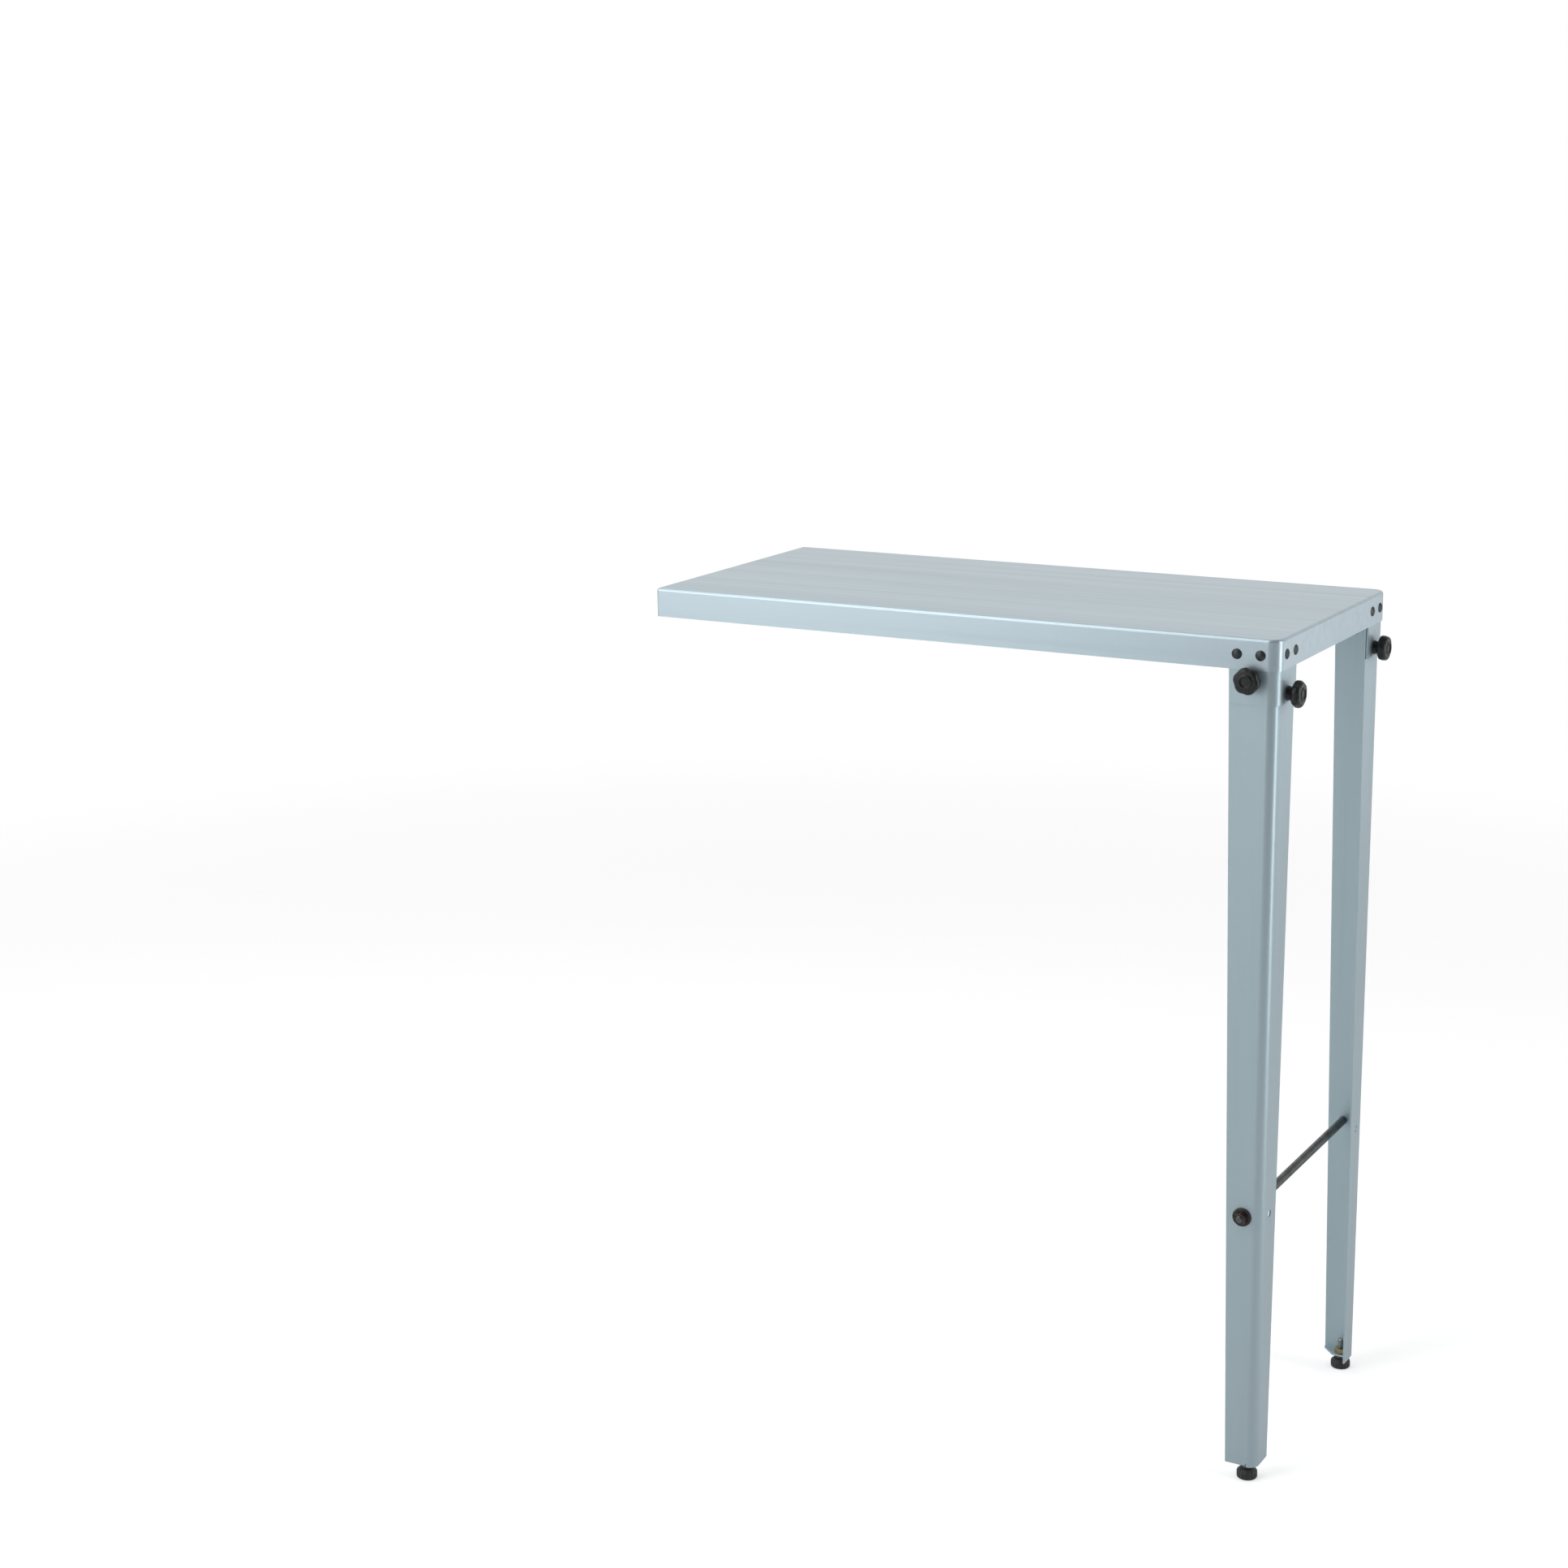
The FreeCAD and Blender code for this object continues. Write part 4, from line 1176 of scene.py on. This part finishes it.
@dataclass
class Studio:
    """Pale floor, soft lamps, white surroundings and the camera."""

    lamps: tuple[Softbox, ...] = (
        Softbox("key_softbox", (-1.45, -3.2, 0.5), (1.9, 1.9), 35.5),
        Softbox("slanting_softbox", (-0.7, -1.9, 1.8), (2.0, 1.8), 17.5),
        Softbox("upper_softbox", (-0.56, -0.84, 2.1), (1.8, 1.2), 9.0),
        Softbox("side_softbox", (2.6, 0.3, 0.0), (0.8, 2.2), 19.0),
        Softbox("rear_softbox", (2.6, 3.0, -0.50), (1.2, 0.8), 4.5),
    )
    floor_reach: float = 30.0
    floor_fade: Span = (1.9, 3.2)
    floor_colour: Colour = (0.86, 0.86, 0.86)
    floor_tone: float = 0.995
    floor_cells: float = 25.0
    floor_lift: float = 0.415
    ambient: float = 0.88
    dim_ambient: float = 0.15
    dim_side: Triple = (0.72, -0.69, 0.0)
    dim_until: float = 0.4
    full_from: float = -0.6
    camera_place: Triple = (1.70397, -2.76858, 0.54553)
    yaw: float = -30.595
    pitch: float = 13.851
    roll: float = -0.963
    lens: float = 62.076
    camera_reach: float = 200.0

    def build(self) -> None:
        """Build the whole studio."""
        self._build_floor()
        self._build_world()
        for lamp in self.lamps:
            lamp.build()
        self._build_camera()
        bpy.context.scene.view_settings.view_transform = "Standard"

    def _build_floor(self) -> None:
        """Lay the floor under the feet: white to the eye, still taking shadows."""
        low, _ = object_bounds()
        mesh = bmesh.new()
        reach = self.floor_reach
        corners = [mesh.verts.new((x, y, low.z)) for x, y in
                   ((-reach, -reach), (reach, -reach), (reach, reach), (-reach, reach))]
        mesh.faces.new(corners)
        data = bpy.data.meshes.new("studio_floor")
        mesh.to_mesh(data)
        mesh.free()
        floor = bpy.data.objects.new("studio_floor", data)
        bpy.context.scene.collection.objects.link(floor)
        data.materials.append(self._floor_material())
        floor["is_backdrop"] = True

    def _floor_material(self) -> Material:
        """Matt floor that fades into the white surroundings away from the table.

        Returns:
            The floor's material.
        """
        recipe = Recipe("studio_floor")
        recipe.settings(roughness=0.9, specular_ior_level=0.1)
        grain = recipe.spread(recipe.noise(self.floor_cells, detail=3.0), *NOISE_BODY)
        recipe.feed("Base Color", recipe.blend(
            grain, shade(self.floor_colour, self.floor_tone), self.floor_colour))
        nodes, links = recipe.nodes, recipe.links
        path = nodes.new("ShaderNodeLightPath")
        lift = nodes.new("ShaderNodeEmission")
        lift.inputs["Strength"].default_value = self.floor_lift
        white = nodes.new("ShaderNodeEmission")
        added = nodes.new("ShaderNodeAddShader")
        links.new(recipe.shader.outputs["BSDF"], added.inputs[0])
        links.new(lift.outputs["Emission"], added.inputs[1])
        distance = nodes.new("ShaderNodeVectorMath")
        distance.operation = "LENGTH"
        links.new(recipe.place, distance.inputs[0])
        far = recipe.spread(distance.outputs["Value"], *self.floor_fade)
        fade = nodes.new("ShaderNodeMixShader")
        links.new(far, fade.inputs["Fac"])
        links.new(added.outputs["Shader"], fade.inputs[1])
        links.new(white.outputs["Emission"], fade.inputs[2])
        seen = nodes.new("ShaderNodeMixShader")
        links.new(path.outputs["Is Camera Ray"], seen.inputs["Fac"])
        links.new(recipe.shader.outputs["BSDF"], seen.inputs[1])
        links.new(fade.outputs["Shader"], seen.inputs[2])
        links.new(seen.outputs["Shader"], recipe.output.inputs["Surface"])
        return recipe.material

    def _build_world(self) -> None:
        """Soft light from all round, white where the camera looks straight at it."""
        world = bpy.data.worlds.new("studio")
        world.use_nodes = True
        nodes, links = world.node_tree.nodes, world.node_tree.links
        nodes.clear()
        output = nodes.new("ShaderNodeOutputWorld")
        ambient = nodes.new("ShaderNodeBackground")
        ambient.inputs["Color"].default_value = WHITE
        links.new(self._graded(nodes, links), ambient.inputs["Strength"])
        white = nodes.new("ShaderNodeBackground")
        white.inputs["Color"].default_value = WHITE
        path = nodes.new("ShaderNodeLightPath")
        seen = nodes.new("ShaderNodeMixShader")
        links.new(path.outputs["Is Camera Ray"], seen.inputs["Fac"])
        links.new(ambient.outputs["Background"], seen.inputs[1])
        links.new(white.outputs["Background"], seen.inputs[2])
        links.new(seen.outputs["Shader"], output.inputs["Surface"])
        bpy.context.scene.world = world

    def _graded(self, nodes: bpy.types.Nodes, links: bpy.types.NodeLinks) -> Socket:
        """Strength of the soft light: low from the dim side, full from the other side.

        Args:
            nodes: The world's nodes.
            links: The world's links.

        Returns:
            The strength's socket.
        """
        place = nodes.new("ShaderNodeTexCoord")
        facing = nodes.new("ShaderNodeVectorMath")
        facing.operation = "DOT_PRODUCT"
        facing.inputs[1].default_value = self.dim_side
        links.new(place.outputs["Generated"], facing.inputs[0])
        level = nodes.new("ShaderNodeMapRange")
        level.inputs["From Min"].default_value = self.dim_until
        level.inputs["From Max"].default_value = self.full_from
        level.inputs["To Min"].default_value = self.dim_ambient
        level.inputs["To Max"].default_value = self.ambient
        links.new(facing.outputs["Value"], level.inputs["Value"])
        return level.outputs["Result"]

    def _build_camera(self) -> None:
        """Set the camera up where the table is seen from."""
        yaw, pitch, roll = (math.radians(v) for v in (self.yaw, self.pitch, self.roll))
        ahead = Vector((math.sin(yaw) * math.cos(pitch), math.cos(yaw) * math.cos(pitch),
                        -math.sin(pitch)))
        level = Vector((math.cos(yaw), -math.sin(yaw), 0.0))
        up = level.cross(ahead)
        right = level * math.cos(roll) + up * math.sin(roll)
        above = up * math.cos(roll) - level * math.sin(roll)
        turn = Matrix((right, above, -ahead)).transposed()
        data = bpy.data.cameras.new("camera")
        data.lens = self.lens
        data.clip_end = self.camera_reach
        camera = bpy.data.objects.new("camera", data)
        camera.matrix_world = Matrix.Translation(self.camera_place) @ turn.to_4x4()
        bpy.context.scene.collection.objects.link(camera)
        bpy.context.scene.camera = camera


def main() -> None:
    """Build the studio and every sub-assembly in order."""
    logging.basicConfig(level=logging.INFO, format="%(name)s: %(message)s")
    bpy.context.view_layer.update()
    Studio().build()
    for part in (TableTop(), LegFrame(), ClampKnobs(), Feet()):
        LOG.info("building %s", type(part).__name__)
        part.build()


if __name__ == "__main__":
    main()
